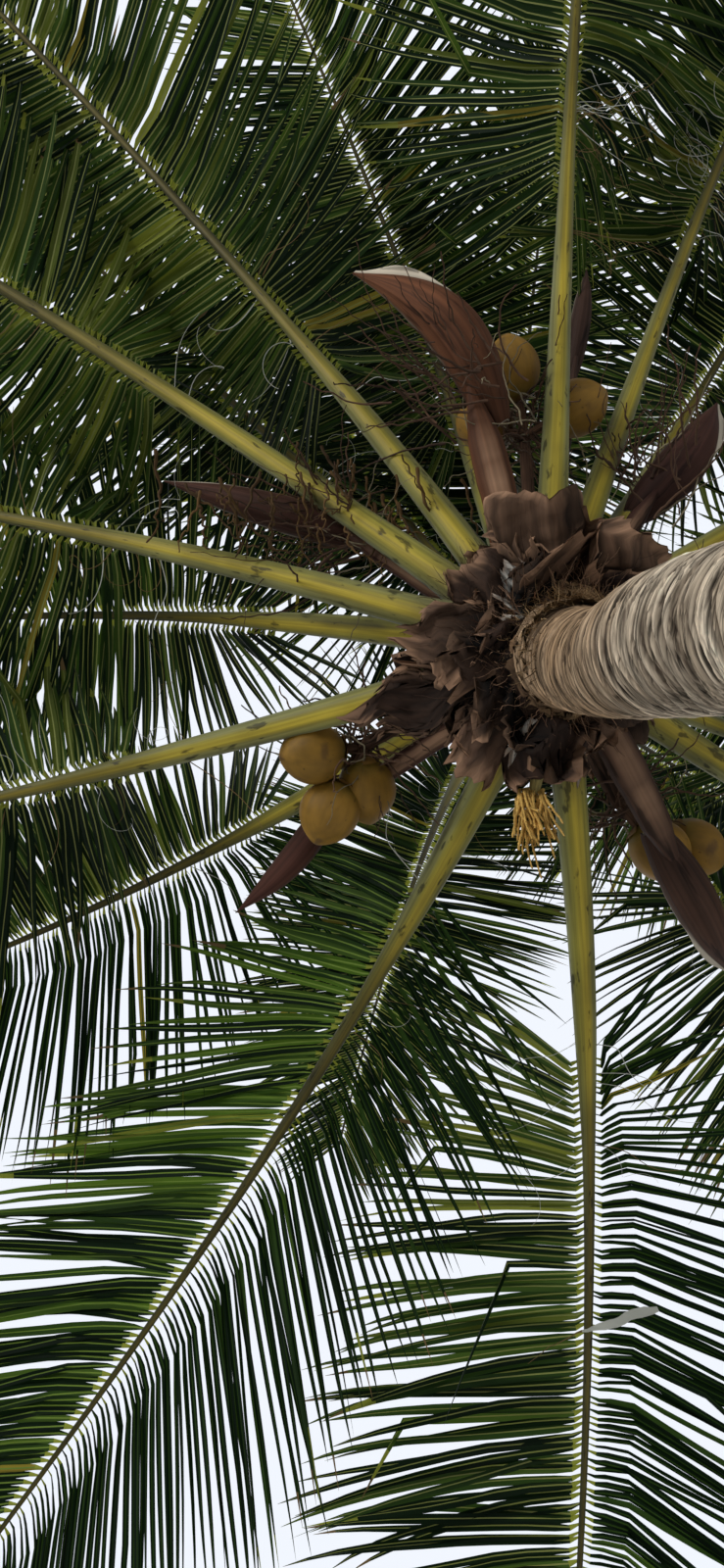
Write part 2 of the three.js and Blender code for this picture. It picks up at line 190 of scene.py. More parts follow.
class Shape:
    """Grids of points gathered into one mesh."""

    def __init__(self, name):
        self.name = name
        self.parts = []
        self.total = 0

    def grid(self, points, mark=0, tint=1.0, place=0.0, closed=False):
        """Points of shape (..., rows, columns, 3) become sheets, or tubes when closed. mark picks the
        material of each face, tint is the colour of each point and place its spot in the grain."""
        lead = points.shape[:-1]
        index = self.total + np.arange(math.prod(lead)).reshape(lead)
        right = np.roll(index, -1, axis=-1) if closed else index[..., 1:]
        left = index if closed else index[..., :-1]
        corners = [left[..., :-1, :], right[..., :-1, :], right[..., 1:, :], left[..., 1:, :]]
        quads = np.stack(corners, axis=-1)
        marks = np.broadcast_to(mark, quads.shape[:-1])
        full = [np.broadcast_to(values, points.shape).reshape(-1, 3) for values in (points, tint, place)]
        self.parts.append((quads.reshape(-1, 4), marks.reshape(-1), *full))
        self.total += math.prod(lead)

    def ring(self, points, tint, place, mark=0):
        self.grid(points, mark, tint, place, closed=True)

    def tubes(self, path, radii, sides, mark, tint):
        """Tubes along paths (n, steps, 3) with radii (n, steps) and a tint for each."""
        heading = unit(np.gradient(path, axis=-2))
        across = np.cross(heading, UP)
        level = np.linalg.norm(across, axis=-1, keepdims=True)
        across = unit(np.where(level < 1e-3, np.array([1.0, 0.0, 0.0]), across))
        over = np.cross(across, heading)
        a = circle(sides)
        radii = radii[..., None, None]
        girth = across[..., None, :] * np.cos(a)[:, None] + over[..., None, :] * np.sin(a)[:, None]
        gone = np.cumsum(np.linalg.norm(np.diff(path, axis=-2, prepend=path[..., :1, :]), axis=-1), axis=-1)
        place = outwards(a) * radii + gone[..., None, None] * UP
        self.ring(path[..., None, :] + girth * radii, tint[:, None, None, :], place, mark)

    def build(self, materials, replaces=()):
        quads, marks, points, tints, places = [np.concatenate(part) for part in zip(*self.parts)]
        mesh = bpy.data.meshes.new(self.name)
        mesh.vertices.add(len(points))
        mesh.vertices.foreach_set("co", points.astype(np.float32).ravel())
        mesh.loops.add(quads.size)
        mesh.loops.foreach_set("vertex_index", quads.astype(np.int32).ravel())
        mesh.polygons.add(len(quads))
        mesh.polygons.foreach_set("loop_start", np.arange(0, quads.size, 4, dtype=np.int32))
        mesh.polygons.foreach_set("material_index", marks.astype(np.int32))
        mesh.polygons.foreach_set("use_smooth", np.full(len(quads), True))
        rgba = np.concatenate([tints, np.ones((len(tints), 1))], axis=1)
        tint = mesh.color_attributes.new("tint", "FLOAT_COLOR", "POINT")
        tint.data.foreach_set("color", rgba.astype(np.float32).ravel())
        place = mesh.attributes.new("place", "FLOAT_VECTOR", "POINT")
        place.data.foreach_set("vector", places.astype(np.float32).ravel())
        mesh.update(calc_edges=True)
        for material in materials:
            mesh.materials.append(material)
        piece = linked(self.name, mesh)
        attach(piece, "root")
        if replaces:
            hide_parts(*replaces)


# Materials


def cleared(owner):
    """The node tree of a material or the world, emptied."""
    owner.use_nodes = True
    owner.node_tree.nodes.clear()
    return owner.node_tree


def node(tree, kind, inputs=(), **settings):
    made = tree.nodes.new("ShaderNode" + kind)
    for key, value in settings.items():
        setattr(made, key, value)
    for key, value in dict(inputs).items():
        if isinstance(value, bpy.types.NodeSocket):
            tree.links.new(value, made.inputs[key])
        else:
            made.inputs[key].default_value = value
    return made


def new_material(name):
    made = bpy.data.materials.new(name)
    return made, cleared(made)


def noise_at(tree, vector, scale, detail=3.0):
    return node(tree, "TexNoise", {"Vector": vector, "Scale": scale, "Detail": detail}).outputs["Fac"]


def mapped(tree, value, low, high, to_low, to_high):
    reach = {"Value": value, "From Min": low, "From Max": high, "To Min": to_low, "To Max": to_high}
    return node(tree, "MapRange", reach).outputs["Result"]


def scaled(tree, colour, by):
    return node(tree, "VectorMath", {0: colour, "Scale": by}, operation="SCALE").outputs["Vector"]


def varied(tree, noise, colour, amount):
    """A colour that wanders lighter and darker by a noise."""
    return scaled(tree, colour, mapped(tree, noise, 0.3, 0.7, 1 - amount, 1 + amount))


def bumped(tree, height, strength, depth):
    return node(tree, "Bump", {"Height": height, "Strength": strength, "Distance": depth}).outputs["Normal"]


def leaf_material(name, colour, through, share, roughness):
    """A thin leaf: a waxy face mixed with light that comes through from behind."""
    made, tree = new_material(name)
    noise = noise_at(tree, node(tree, "TexCoord").outputs["Object"], 2.3)
    wax = node(tree, "BsdfPrincipled", {
        "Base Color": varied(tree, noise, colour, 0.22), "Roughness": roughness, "Specular IOR Level": 0.08,
        "Normal": bumped(tree, noise, 0.15, 0.01)})
    glow = node(tree, "BsdfTranslucent", {"Color": (*through, 1)})
    both = node(tree, "MixShader", {0: share, 1: wax.outputs[0], 2: glow.outputs[0]})
    node(tree, "OutputMaterial", {"Surface": both.outputs[0]})
    return made


def grained_material(name, roughness, stretch, amount, depth, patches, cracks, specular):
    """Takes each point's own colour and draws a grain over it, stretched along the growth. patches
    are broad lighter and darker areas, and cracks are thin dark marks: stretch, threshold, darkness."""
    made, tree = new_material(name)
    place = node(tree, "Attribute", attribute_name="place").outputs["Vector"]
    own = node(tree, "Attribute", attribute_name="tint").outputs["Color"]
    everywhere = node(tree, "TexCoord").outputs["Object"]
    along = node(tree, "Mapping", {"Vector": place, "Scale": stretch}).outputs["Vector"]
    grain = noise_at(tree, along, 1.0, 6.0)
    colour = varied(tree, grain, own, amount)
    colour = varied(tree, noise_at(tree, everywhere, patches[0]), colour, patches[1])
    height = grain
    if cracks:
        crack_stretch, threshold, dark = cracks
        along = node(tree, "Mapping", {"Vector": place, "Scale": crack_stretch}).outputs["Vector"]
        where = mapped(tree, noise_at(tree, along, 1.0), threshold, threshold + 0.06, 1.0, dark)
        colour = scaled(tree, colour, where)
        height = node(tree, "Math", {0: height, 1: where}, operation="MULTIPLY").outputs["Value"]
    face = node(tree, "BsdfPrincipled", {
        "Base Color": colour, "Normal": bumped(tree, height, 0.8, depth), "Specular IOR Level": specular,
        "Roughness": mapped(tree, grain, 0.3, 0.7, roughness - 0.08, min(1.0, roughness + 0.1))})
    node(tree, "OutputMaterial", {"Surface": face.outputs[0]})
    return made


# Leaves: the colour of the face and of the light that comes through, the share of that light, roughness
LEAVES = [leaf_material(*row) for row in (
    ("leaf_deep", (0.006, 0.015, 0.006), (0.010, 0.028, 0.007), 0.28, 0.5),
    ("leaf_green", (0.015, 0.034, 0.010), (0.060, 0.125, 0.017), 0.34, 0.5),
    ("leaf_mid", (0.029, 0.058, 0.013), (0.135, 0.235, 0.030), 0.34, 0.5),
    ("leaf_olive", (0.068, 0.090, 0.018), (0.255, 0.315, 0.042), 0.35, 0.5),
    ("leaf_lime", (0.185, 0.205, 0.036), (0.50, 0.54, 0.065), 0.40, 0.5),
    ("leaf_yellowing", (0.20, 0.16, 0.025), (0.45, 0.36, 0.045), 0.40, 0.5),
    ("leaf_dry", (0.17, 0.11, 0.05), (0.28, 0.19, 0.08), 0.30, 0.7),
    ("leaf_midrib", (0.24, 0.26, 0.085), (0.38, 0.42, 0.09), 0.25, 0.5),
    ("leaf_pale_strip", (0.56, 0.57, 0.50), (0.55, 0.55, 0.46), 0.30, 0.7),
    ("leaf_fresh", (0.042, 0.088, 0.012), (0.190, 0.330, 0.030), 0.35, 0.5),
    ("leaf_fresh_midrib", (0.150, 0.225, 0.045), (0.28, 0.42, 0.05), 0.25, 0.5),
)]
DEEP, GREEN, MID, OLIVE, LIME, YELLOWING, DRY, MIDRIB, PALE, FRESH, FRESH_MIDRIB = range(11)

stalk_skin = grained_material("stalk_skin", 0.5, (90, 90, 2.4), 0.3, 0.0015, (3.5, 0.22),
                              ((34, 34, 12), 0.63, 0.3), 0.25)
bark_skin = grained_material("bark_skin", 0.92, (9, 9, 190), 0.75, 0.007, (2.2, 0.16),
                             ((5, 5, 170), 0.555, 0.30), 0.12)
sheath_skin = grained_material("sheath_skin", 0.86, (110, 110, 5), 0.42, 0.003, (7.0, 0.3),
                               ((30, 30, 5), 0.60, 0.3), 0.2)
spathe_skin = grained_material("spathe_skin", 0.66, (85, 85, 1.6), 0.26, 0.0022, (5.0, 0.2),
                               ((24, 24, 4), 0.60, 0.4), 0.15)
husk_skin = grained_material("husk_skin", 0.55, (3.2, 3.2, 0.8), 0.2, 0.0015, (9.0, 0.2),
                             ((5.5, 5.5, 3.5), 0.68, 0.5), 0.25)
string_skin = grained_material("string_skin", 0.8, (160, 160, 60), 0.3, 0.0015, (8.0, 0.2), None, 0.3)


# Fronds, by the same rule and rows as the solids: azimuth, height, elevation at the base and at the
# tip, length in millimetres, turn along the frond, roll, share of bare stalk, extra spread, and how
# much harder the leaflets hang on the side at azimuth - 90
FRONDS = [
    (279, 200, 30, -38, 4800, -10, 4, 0.31, 6),
    (297, 270, 38, -30, 4800, -5, 8, 0.36, 0),
    (240, 250, 34, -35, 4800, -25, -6, 0.22, 0),
    (219, 200, 28, -35, 4800, -15, 4, 0.28, 0),
    (198, 150, 25, -40, 4800, -20, 10, 0.25, 0),
    (163, 100, 22, -40, 4800, 10, 6, 0.24, 0),
    (111, 107, 25, -42, 5000, 27, 1, 0.14, -13, 1.1),
    (79, 60, 15, -29, 4800, 24, 3, 0.23, 10, 0.45),
    (30, 160, 22, -38, 4800, -4, 0, 0.26, 0),
    (8, 100, 24, -40, 4700, 0, -6, 0.26, 0),
    (330, 150, 30, -32, 4800, 10, 6, 0.26, 0),
    (191, 400, 48, -30, 4700, -25, -8, 0.19, 0),
    (141, 350, 42, -30, 4700, 28, 14, 0.22, 0, 0.6),
    (314, 400, 48, -30, 4700, -20, 0, 0.26, 0),
    (270, 450, 58, -20, 4600, -30, -10, 0.24, 0),
    (47, 350, 40, -32, 4700, -6, 0, 0.26, 0),
    (16, 410, 46, -28, 4600, 4, 8, 0.26, 0),
    (345, 340, 42, -30, 4700, 6, -8, 0.26, 0),
    (228, 480, 55, -22, 4600, 0, 0, 0.24, 0),
    (95, 520, 74, 5, 4100, 8, 4, 0.22, 0),
    (290, 610, 66, 0, 4200, -14, 0, 0.14, 0),
    (248, 600, 74, 0, 4050, 6, 6, 0.16, 0),
    (20, 600, 74, 0, 4100, 10, 0, 0.22, 0),
]
START_RADIUS = 0.12
ARCH_POWER = 1.5
RIB_STEPS = 60
RIB_WIDTH = 0.105
RIB_TIP_WIDTH = 0.018
RIB_TAPER = 2.4

# The leaflets along a blade: share of the blade, angle from the rib, rise above the frond's plane and
# length, and how hard they hang at the first and the last ones
BLADE = np.array([
    (0, 76, 73, 0.80),
    (0.15, 62, 33, 0.95),
    (0.3, 60, 32, 1.10),
    (0.5, 58, 30, 1.05),
    (0.7, 51, 20, 0.90),
    (1, 40, 5, 0.40),
])
LONGEST = 1.1
HANG = 0.28
HANG_PER_ROLL = 0.03
FIRST_HANG = 0.7
LAST_HANG = 1.6

# How much slimmer a rib looks among the leaflets than the solid's, and on the fronds with broad ribs
SLIMMER = 0.32
BROAD_SLIMMER = 0.07
BROAD_RIBS = (1, 2, 4)


class Rib:
    """The rib of a frond: point, heading, side and up at any fraction of its length."""

    def __init__(self, azimuth, height, lift, droop, length, turn, roll, bare, spread, limp=0.0):
        self.azimuth, self.lift, self.droop = azimuth, lift, droop
        self.turn, self.roll, self.bare = turn, roll, bare
        self.spread, self.limp, self.slimmer = spread, limp, SLIMMER
        self.length = length / 1000
        start = round_crown(azimuth, START_RADIUS, height / 1000)
        middles = (np.arange(RIB_STEPS) + 0.5) / RIB_STEPS
        steps = self.heading(middles) * self.length / RIB_STEPS
        self.points = np.vstack([start, start + np.cumsum(steps, axis=0)])

    def heading(self, u):
        e = np.radians(self.lift + (self.droop - self.lift) * u ** ARCH_POWER)
        a = np.radians(self.azimuth + self.turn * u)
        return stacked(np.cos(e) * np.cos(a), np.cos(e) * np.sin(a), np.sin(e))

    def at(self, u):
        where = np.arange(RIB_STEPS + 1) / RIB_STEPS
        point = np.stack([np.interp(u, where, self.points[:, i]) for i in range(3)], axis=-1)
        heading = self.heading(u)
        level = sideways(np.radians(self.azimuth + self.turn * u))
        side = rotated(level, heading, np.radians(self.roll) * np.minimum(1, u / self.bare))
        return point, heading, side, np.cross(heading, side)


def rib_width(u):
    return RIB_TIP_WIDTH + (RIB_WIDTH - RIB_TIP_WIDTH) * (1 - u) ** RIB_TAPER


def rib_half(rib, u):
    """Half the width that shows."""
    return rib_width(u) / 2 * (1 - rib.slimmer * smoothstep(rib.bare - 0.04, rib.bare + 0.10, u))


def blade_at(v, column):
    return np.interp(v, BLADE[:, 0], BLADE[:, column])


LEAFLETS_A_SIDE = 156
LEAFLET_KNOTS = np.array([0, 0.03, 0.08, 0.18, 0.30, 0.42, 0.55, 0.68, 0.80, 0.91, 1.0])
LEAFLET_BREADTH = 0.035
# Leaflets that hang edgewise: how much slimmer they look and how much painted shade darkens them
EDGEWISE_SLIMMER = 0.33
EDGEWISE_PAINTED_SHADE = 1.7
# Leaflets that curl back: the shares of the blade between which that fades, and how much shorter they are
CURL_FADES = (0.10, 0.27)
CURL_SHORTER = 0.36
# The leaflet's outline: share of its length and share of its full breadth there
LEAFLET_OUTLINE = np.array([
    (0, 0.26), (0.03, 0.62), (0.08, 0.9), (0.3, 1.0), (0.6, 0.88), (0.8, 0.6), (0.93, 0.3), (1.0, 0.03)])


def in_groups(rng, count, spread):
    """Neighbouring leaflets that stick together share a random shift."""
    sizes = rng.integers(1, 7, count)
    group = np.repeat(np.arange(count), sizes)[:count]
    return rng.normal(0, spread, count)[group]


def uneven(rng, v, height, rate, grouped, single):
    """Waves along the blade, with a shift of each group and one of each leaflet."""
    return height * waves(rng, v * rate) + in_groups(rng, len(v), grouped) + rng.normal(0, single, len(v))


def leaflet_colours(rng, v, age_and_painted_light, lit):
    """Which leaf colour each leaflet takes, and from what share of its length it is lime or dry."""
    count = len(v)
    old = max(0, age_and_painted_light)
    # The shade number mixes random tone with age and painted light: lit first leaflets and lighter front
    # fronds as painted highlight, darker back fronds and edgewise leaflets as painted shade
    shade = 0.65 + uneven(rng, v, 0.8, 9, 0.5, 1.0) + age_and_painted_light + lit * np.clip(1 - v / 0.3, 0, 1)
    body = np.clip(np.round(np.minimum(shade, 0.4 * shade + 2.1)), DEEP, LIME).astype(int)
    body = np.where(rng.random(count) < 0.006 + 0.01 * old, YELLOWING, body)
    dry_from = np.where(rng.random(count) < 0.2 + 0.1 * old, rng.uniform(0.84, 0.97, count), 2)
    lime_from = np.where(rng.random(count) < 0.10 + 0.4 * old, rng.uniform(0.78, 0.94, count), 2)
    return body, lime_from, dry_from


def add_leaflets(shape, rib, hand, rng, age_and_painted_light, lit, fresh, swept):
    """One side of a frond. fresh is greener, and swept is how hard the first leaflets curl back."""
    count = LEAFLETS_A_SIDE
    each = (count, 1)
    v = (np.arange(count) + rng.uniform(0.3, 0.7, count)) / count
    u = rib.bare + (1 - rib.bare) * v
    point, heading, side, up = rib.at(u)
    along = heading[:, None, :]
    limp = rib.limp if hand < 0 else 0.0
    edgewise = min(1.0, 2 * limp)

    # Where each leaflet heads as it leaves the rib, its length and how far it hangs and curls back
    sweep = np.radians(blade_at(v, 1) + rib.spread * (1 - v / 2) + uneven(rng, v, 2.5, 14, 1.3, 0.9))
    lift = np.radians(blade_at(v, 2) + uneven(rng, v, 2, 17, 2.0, 1.6))
    hang = (HANG + limp - hand * rib.roll * HANG_PER_ROLL) * (FIRST_HANG + (LAST_HANG - FIRST_HANG) * v)
    hang = hang * (1 + 0.2 * waves(rng, v * 11)) + in_groups(rng, count, 0.05) + rng.normal(0, 0.04, count)
    hang = hang[:, None]
    length = blade_at(v, 3) * (1 + 0.05 * waves(rng, v * 25)) * rng.uniform(0.9, 1.02, count)
    back = swept * (1 - smoothstep(*CURL_FADES, v)) * (1 + 0.25 * np.sin(2.4 * np.arange(count)))
    length = length * (1 - CURL_SHORTER * np.minimum(back, 1.5))
    outward = times(side * hand, np.cos(lift)) + times(up, np.sin(lift))
    first = times(heading, np.cos(sweep)) + times(outward, np.sin(sweep))

    # Its path: it bends down, sags at the end, may be broken, and drifts along the rib
    t = LEAFLET_KNOTS
    s = (t[1:] + t[:-1]) / 2
    broken = rng.random(each) < 0.03 + 0.1 * np.clip(hang - 0.2, 0, 0.5)
    break_at = rng.uniform(0.3, 0.75, each)
    break_by = rng.uniform(0.5, 2.0, each)
    bend_end = np.clip(0.6 - 0.7 * hang + rng.normal(0, 0.05, each), 0.24, 0.6)
    bend = smoothstep(0.1, bend_end, s) * hang
    bend = bend + 0.5 * np.maximum(0, s - 0.62) ** 1.5 * (1 + rng.uniform(0, 1.5, each))
    bend = bend + np.where(broken & (s > break_at), break_by, 0)
    drift = rng.normal(0, 0.06, each) * s ** 1.5 - back[:, None] * smoothstep(0.0, 0.9, s)
    drift = drift + 0.035 * np.sin(s * rng.uniform(4, 9, each) + rng.uniform(0, 7, each))
    direction = unit(first[:, None, :] - times(UP, bend) + times(along, drift))
    direction[:, 0] = unit(side * hand + heading * 0.55 + up * 0.15)
    root = point + times(side, hand * rib_half(rib, u) * 0.80) + times(up, rib_width(u) * 0.02)
    path = walked(root, times(direction, length[:, None] * np.diff(t)))

    # Its blade: twisted, folded along the midrib, with a raised strip for the vein
    joints = (direction[:, :-1] + direction[:, 1:]) / 2
    tangent = unit(np.concatenate([direction[:, :1], joints, direction[:, -1:]], axis=1))
    across = unit(along - tangent * np.sum(along * tangent, axis=-1, keepdims=True))
    twist = rng.normal(0, 26, each) + np.where(rng.random(each) < 0.1, rng.choice([-1, 1], each) * 90, 0)
    tilt = hand * (14 + 40 * edgewise + rng.normal(0, 10 + 12 * edgewise, each))
    across = rotated(across, tangent, np.radians(tilt) + np.radians(twist) * t ** 1.5)
    normal = -hand * np.cross(tangent, across)
    breadth = LEAFLET_BREADTH * (0.5 + 0.5 * blade_at(v, 3) / LONGEST) * (1 - EDGEWISE_SLIMMER * edgewise)
    outline = np.interp(t, LEAFLET_OUTLINE[:, 0], LEAFLET_OUTLINE[:, 1])
    half = (breadth / 2 * rng.uniform(0.8, 1.12, count))[:, None] * outline
    fold = np.radians(34 - 16 * t + rng.normal(0, 6, each))
    low = path - times(normal, half * np.sin(fold))
    edge = times(across, half * np.cos(fold))
    vein = times(across, np.minimum(half * 0.5, 0.0026 - 0.0018 * t))
    points = np.stack([low + edge, path + vein, path - vein, low - edge], axis=2)

    # Edgewise leaflets take darker leaf colours: painted shade
    body, lime_from, dry_from = leaflet_colours(rng, v, age_and_painted_light - EDGEWISE_PAINTED_SHADE * edgewise, lit)
    if fresh:
        body = np.where(body == OLIVE, FRESH, body)
    mark = np.tile(body[:, None, None], (1, len(s), 3))
    # On edgewise leaflets the vein strip is painted dark green: painted shade
    mark[:, :, 1] = GREEN if edgewise > 0.5 else FRESH_MIDRIB if fresh else MIDRIB
    # Most leaflets are lime at their first step from the rib: painted highlight on the leaflet roots
    mark[rng.random(count) < 0.7, 0] = LIME
    mark[s > lime_from[:, None]] = LIME
    mark[s > dry_from[:, None]] = DRY
    shape.grid(points, mark)


def add_reins(shape, rib, rng, count, hands):
    """Pale dry threads torn from the leaf edges, curling in tufts near the first leaflets."""
    tufts = rng.uniform(-0.03, 0.15, 1 + count // 4)
    s = np.linspace(0, 1, 40)
    for k in range(count):
        u = rib.bare + tufts[k % len(tufts)] + rng.normal(0, 0.008)
        hand = rng.choice(hands)
        point, heading, side, up = rib.at(u)
        reach = rng.uniform(0.08, 0.34)
        out = unit(side * hand + heading * rng.uniform(-0.9, 0.9) + up * rng.uniform(-0.2, 0.4))
        curl = rng.uniform(0.15, 1.15) * 2 * np.pi * rng.choice([-1, 1]) * s ** 1.5
        radius = 0.004 + 0.055 * s ** 0.8 * rng.uniform(0.3, 1.3)
        b = unit(np.cross(out, UP))
        c = unit(np.cross(b, out) * 0.5 + out)
        path = point + side * hand * rib_width(u) * 0.4 + times(out, reach * s ** 0.8)
        path = path + times(b, radius * np.cos(curl) - radius[0]) + times(c, radius * np.sin(curl))
        path = path - times(UP, 0.10 * s ** 2)
        half = 0.0014 * rng.uniform(0.5, 1.3) * (1 - 0.6 * s)
        shape.grid(ribbon(path, half), PALE if rng.random() < 0.6 else DRY)


# The dead strip across a rib: where it lies, how far it reaches to the sides and forward, and its width
STRIP_AT = 0.42
STRIP_REACH = 0.20
STRIP_FORWARD = 0.17
STRIP_WIDTH = 0.036


def add_loose_strip(shape, rib, rng):
    """A dead leaflet that has dropped across a rib, with its end narrowing to a thread."""
    point, heading, side, _ = rib.at(STRIP_AT)
    s = np.linspace(0, 1, 24)
    reach = side * STRIP_REACH + heading * STRIP_FORWARD / 2
    start = point - reach - UP * 0.05
    end = point + reach - UP * 0.06
    path = start + times(end - start, s) + times(UP, 0.03 * np.sin(np.pi * s))
    path = path + times(heading, 0.012 * waves(rng, s * 6))
    broad = STRIP_WIDTH / 2 * np.interp(s, [0, 0.1, 0.4, 0.5, 0.62, 1], [0.5, 1, 0.8, 0.35, 0.12, 0.05])
    shape.grid(ribbon(path, broad), np.where(s[:-1] < 0.55, PALE, DRY)[:, None])


STALK_LIME = np.array([0.225, 0.205, 0.032])
STALK_GOLD = np.array([0.480, 0.360, 0.036])
STALK_EDGE = np.array([0.210, 0.220, 0.120])
STALK_BLOOM = np.array([0.200, 0.215, 0.125])
STALK_GREY = np.array([0.036, 0.034, 0.014])
STALK_GREEN = np.array([0.080, 0.110, 0.020])
STALK_ROOT = np.array([0.075, 0.055, 0.022])


def add_rib(shape, rib, rng, leaf_zone_grey):
    """The stalk and rib: rounded below, channelled above near the base and ridged towards the tip.
    leaf_zone_grey is how far it turns grey-brown and darker among the leaflets."""
    t, a = over_tube(rings=72, sides=20)
    u = t ** 1.25
    point, _, side, up = rib.at(u)
    x = np.cos(a)
    half = rib_half(rib, u) * (1 + 0.55 * (1 - smoothstep(0.0, 0.055, u)))
    channel = 1 - smoothstep(0.12, 0.45, u)
    top = channel * (0.32 - 0.45 * (1 - np.abs(x)) ** 0.8) + (1 - channel) * 0.75
    z = np.minimum(0, np.sin(a)) * 0.82 + np.maximum(0, np.sin(a)) * top
    points = point + times(side, half * x) + times(up, half * z)

    centre = np.exp(-(((x + 0.12) / 0.42) ** 2)) * (np.sin(a) < 0)
    rim = np.exp(-((np.abs(x) - 1.0) / 0.16) ** 2)
    in_leaf_zone = smoothstep(0.6 * rib.bare, rib.bare + 0.16, u)
    tint = mix(STALK_LIME, STALK_GOLD, centre * (0.85 + 0.15 * waves(rng, u * 20)))
    tint = mix(tint, STALK_EDGE, rim * 0.75)
    tint = mix(tint, STALK_GREEN, (np.sin(a) > 0.1) * 0.7)
    # Among the leaflets the rib turns dark grey-brown, with a dimmer gold centre
    tint = mix(tint, mix(STALK_GREY, STALK_GOLD * 0.22, centre * 0.5), in_leaf_zone * leaf_zone_grey)
    # The foot of the stalk turns dark brown where it enters the boss: partly its own colour, partly painted
    # shade
    tint = mix(tint, STALK_ROOT, (1 - smoothstep(0.02, 0.07, u)) * 0.9)
    tint = times(tint, 1 + 0.08 * waves(rng, u * 40))
    bloom = np.clip(0.5 + 0.6 * ripples(rng, a, u * 9, 14, 2, 2.0), 0, 1) * (np.abs(x) > 0.35)
    tint = mix(tint, STALK_BLOOM, bloom * (1 - in_leaf_zone) * 0.45)
    blotch = np.clip(ripples(rng, a, u * 9, 16, 3, 4.0) - 0.55, 0, 1) * (1 - smoothstep(0.10, 0.22, u))
    tint = mix(tint, STALK_GREY, np.clip(blotch * 2.2, 0, 0.8))
    place = stacked(x * 0.05, z * 0.05, u * rib.length) + rng.uniform(-5, 5, 3)
    shape.ring(points, tint, place)


# Trunk: height, middle and radius, and the bark's colours

TRUNK_HEIGHT = 4.3
TRUNK_SECTIONS = [
    (0.000, 0.000, 0.000, 0.275),
    (0.120, -0.006, 0.000, 0.225),
    (0.320, -0.025, 0.000, 0.180),
    (0.700, -0.085, -0.005, 0.160),
    (1.450, -0.290, -0.020, 0.150),
    (2.300, -0.560, -0.045, 0.143),
    (3.100, -0.790, -0.055, 0.141),
    (3.650, -0.895, -0.025, 0.140),
    (3.950, -0.932, 0.008, 0.118),
    (4.150, -0.942, 0.002, 0.120),
    (TRUNK_HEIGHT, -0.950, -0.015, 0.131),
]
BARK_GREY = np.array([0.400, 0.316, 0.226])
BARK_PALE = np.array([0.845, 0.712, 0.545])
BARK_WARM = np.array([0.330, 0.205, 0.110])
BARK_DARK = np.array([0.060, 0.040, 0.028])


def trunk_surface(rng, z, a):
    """Points and colours of the bark at heights z and angles a: bulging rings parted by cracks."""
    level = z + 0.016 * ripples(rng, a, z, 9, 4, 9.0) + 0.004 * ripples(rng, a, z, 12, 14, 60.0)
    scars = np.cumsum(rng.uniform(0.022, 0.070, 160)) - 0.3
    i = np.clip(np.searchsorted(scars, level), 1, len(scars) - 1)
    gap = scars[i] - scars[i - 1]
    share = np.clip((level - scars[i - 1]) / gap, 0, 1)
    to_crack = np.minimum(share, 1 - share) * gap
    deep = (0.35 + 0.65 * rng.random(len(scars)))[i] * (0.55 + 0.45 * ripples(rng, a, z, 10, 5, 12.0))
    crack = np.exp(-(to_crack / 0.0045) ** 2) * np.clip(deep, 0, 1)
    bulge = np.sin(np.pi * share) ** 0.7
    groove = ripples(rng, a, level, 40, 3, 420.0)
    chips = np.clip(ripples(rng, a, level, 30, 16, 160.0) - 0.9, 0, 1)
    relief = 0.0045 * bulge - 0.008 * crack + 0.0022 * groove - 0.006 * chips
    foot = 1 - smoothstep(0.0, 0.34, z)
    relief = relief + foot * 0.014 * ripples(rng, a, z, 10, 11, 9.0)
    radius = smooth_rows(z, TRUNK_SECTIONS, 3) + relief
    x = smooth_rows(z, TRUNK_SECTIONS, 1) + radius * np.cos(a)
    y = smooth_rows(z, TRUNK_SECTIONS, 2) + radius * np.sin(a)
    warm = smoothstep(3.5, 3.95, z + 0.12 * ripples(rng, a, z, 8, 3, 6.0))
    pale = 0.38 + 0.42 * ripples(rng, a, level, 20, 2, 70.0) + 0.2 * ripples(rng, a, level, 10, 6, 9.0)
    tint = mix(mix(BARK_GREY, BARK_PALE, np.clip(pale, 0, 1)), BARK_WARM, warm * 0.85)
    tint = times(tint, 1 + 0.5 * groove)
    tint = mix(tint, BARK_DARK * 1.5, smoothstep(0.45, 1.1, -groove) * 0.85)
    tint = mix(tint, BARK_DARK, np.clip(crack * 1.6 + chips * 1.8, 0, 0.96))
    tint = mix(tint, BARK_DARK * 1.6, foot * 0.35)
    return stacked(x, y, z), np.clip(tint, 0, 1)


def add_trunk(shape, rng):
    t, a = over_tube(rings=900, sides=84)
    z = TRUNK_HEIGHT * t
    points, tint = trunk_surface(rng, z, a)
    shape.ring(points, tint, stacked(np.cos(a) * 0.15, np.sin(a) * 0.15, z))
    centre = points[0].mean(axis=0)
    cut = centre + (points[0] - centre) * np.linspace(1, 0.002, 5)[:, None, None]
    shape.ring(cut, BARK_WARM * 0.8, cut)


# Crown boss: a fibrous core, torn sheets of old leaf bases and loose fibres. Height and radius

BOSS_SECTIONS = [
    (-0.100, 0.131),
    (-0.040, 0.165),
    (0.060, 0.215),
    (0.200, 0.225),
    (0.360, 0.195),
    (0.520, 0.150),
    (0.640, 0.100),
    (0.720, 0.060),
]
NECK_SECTIONS = [(-0.50, 0.118), (-0.42, 0.117), (-0.25, 0.120)] + BOSS_SECTIONS
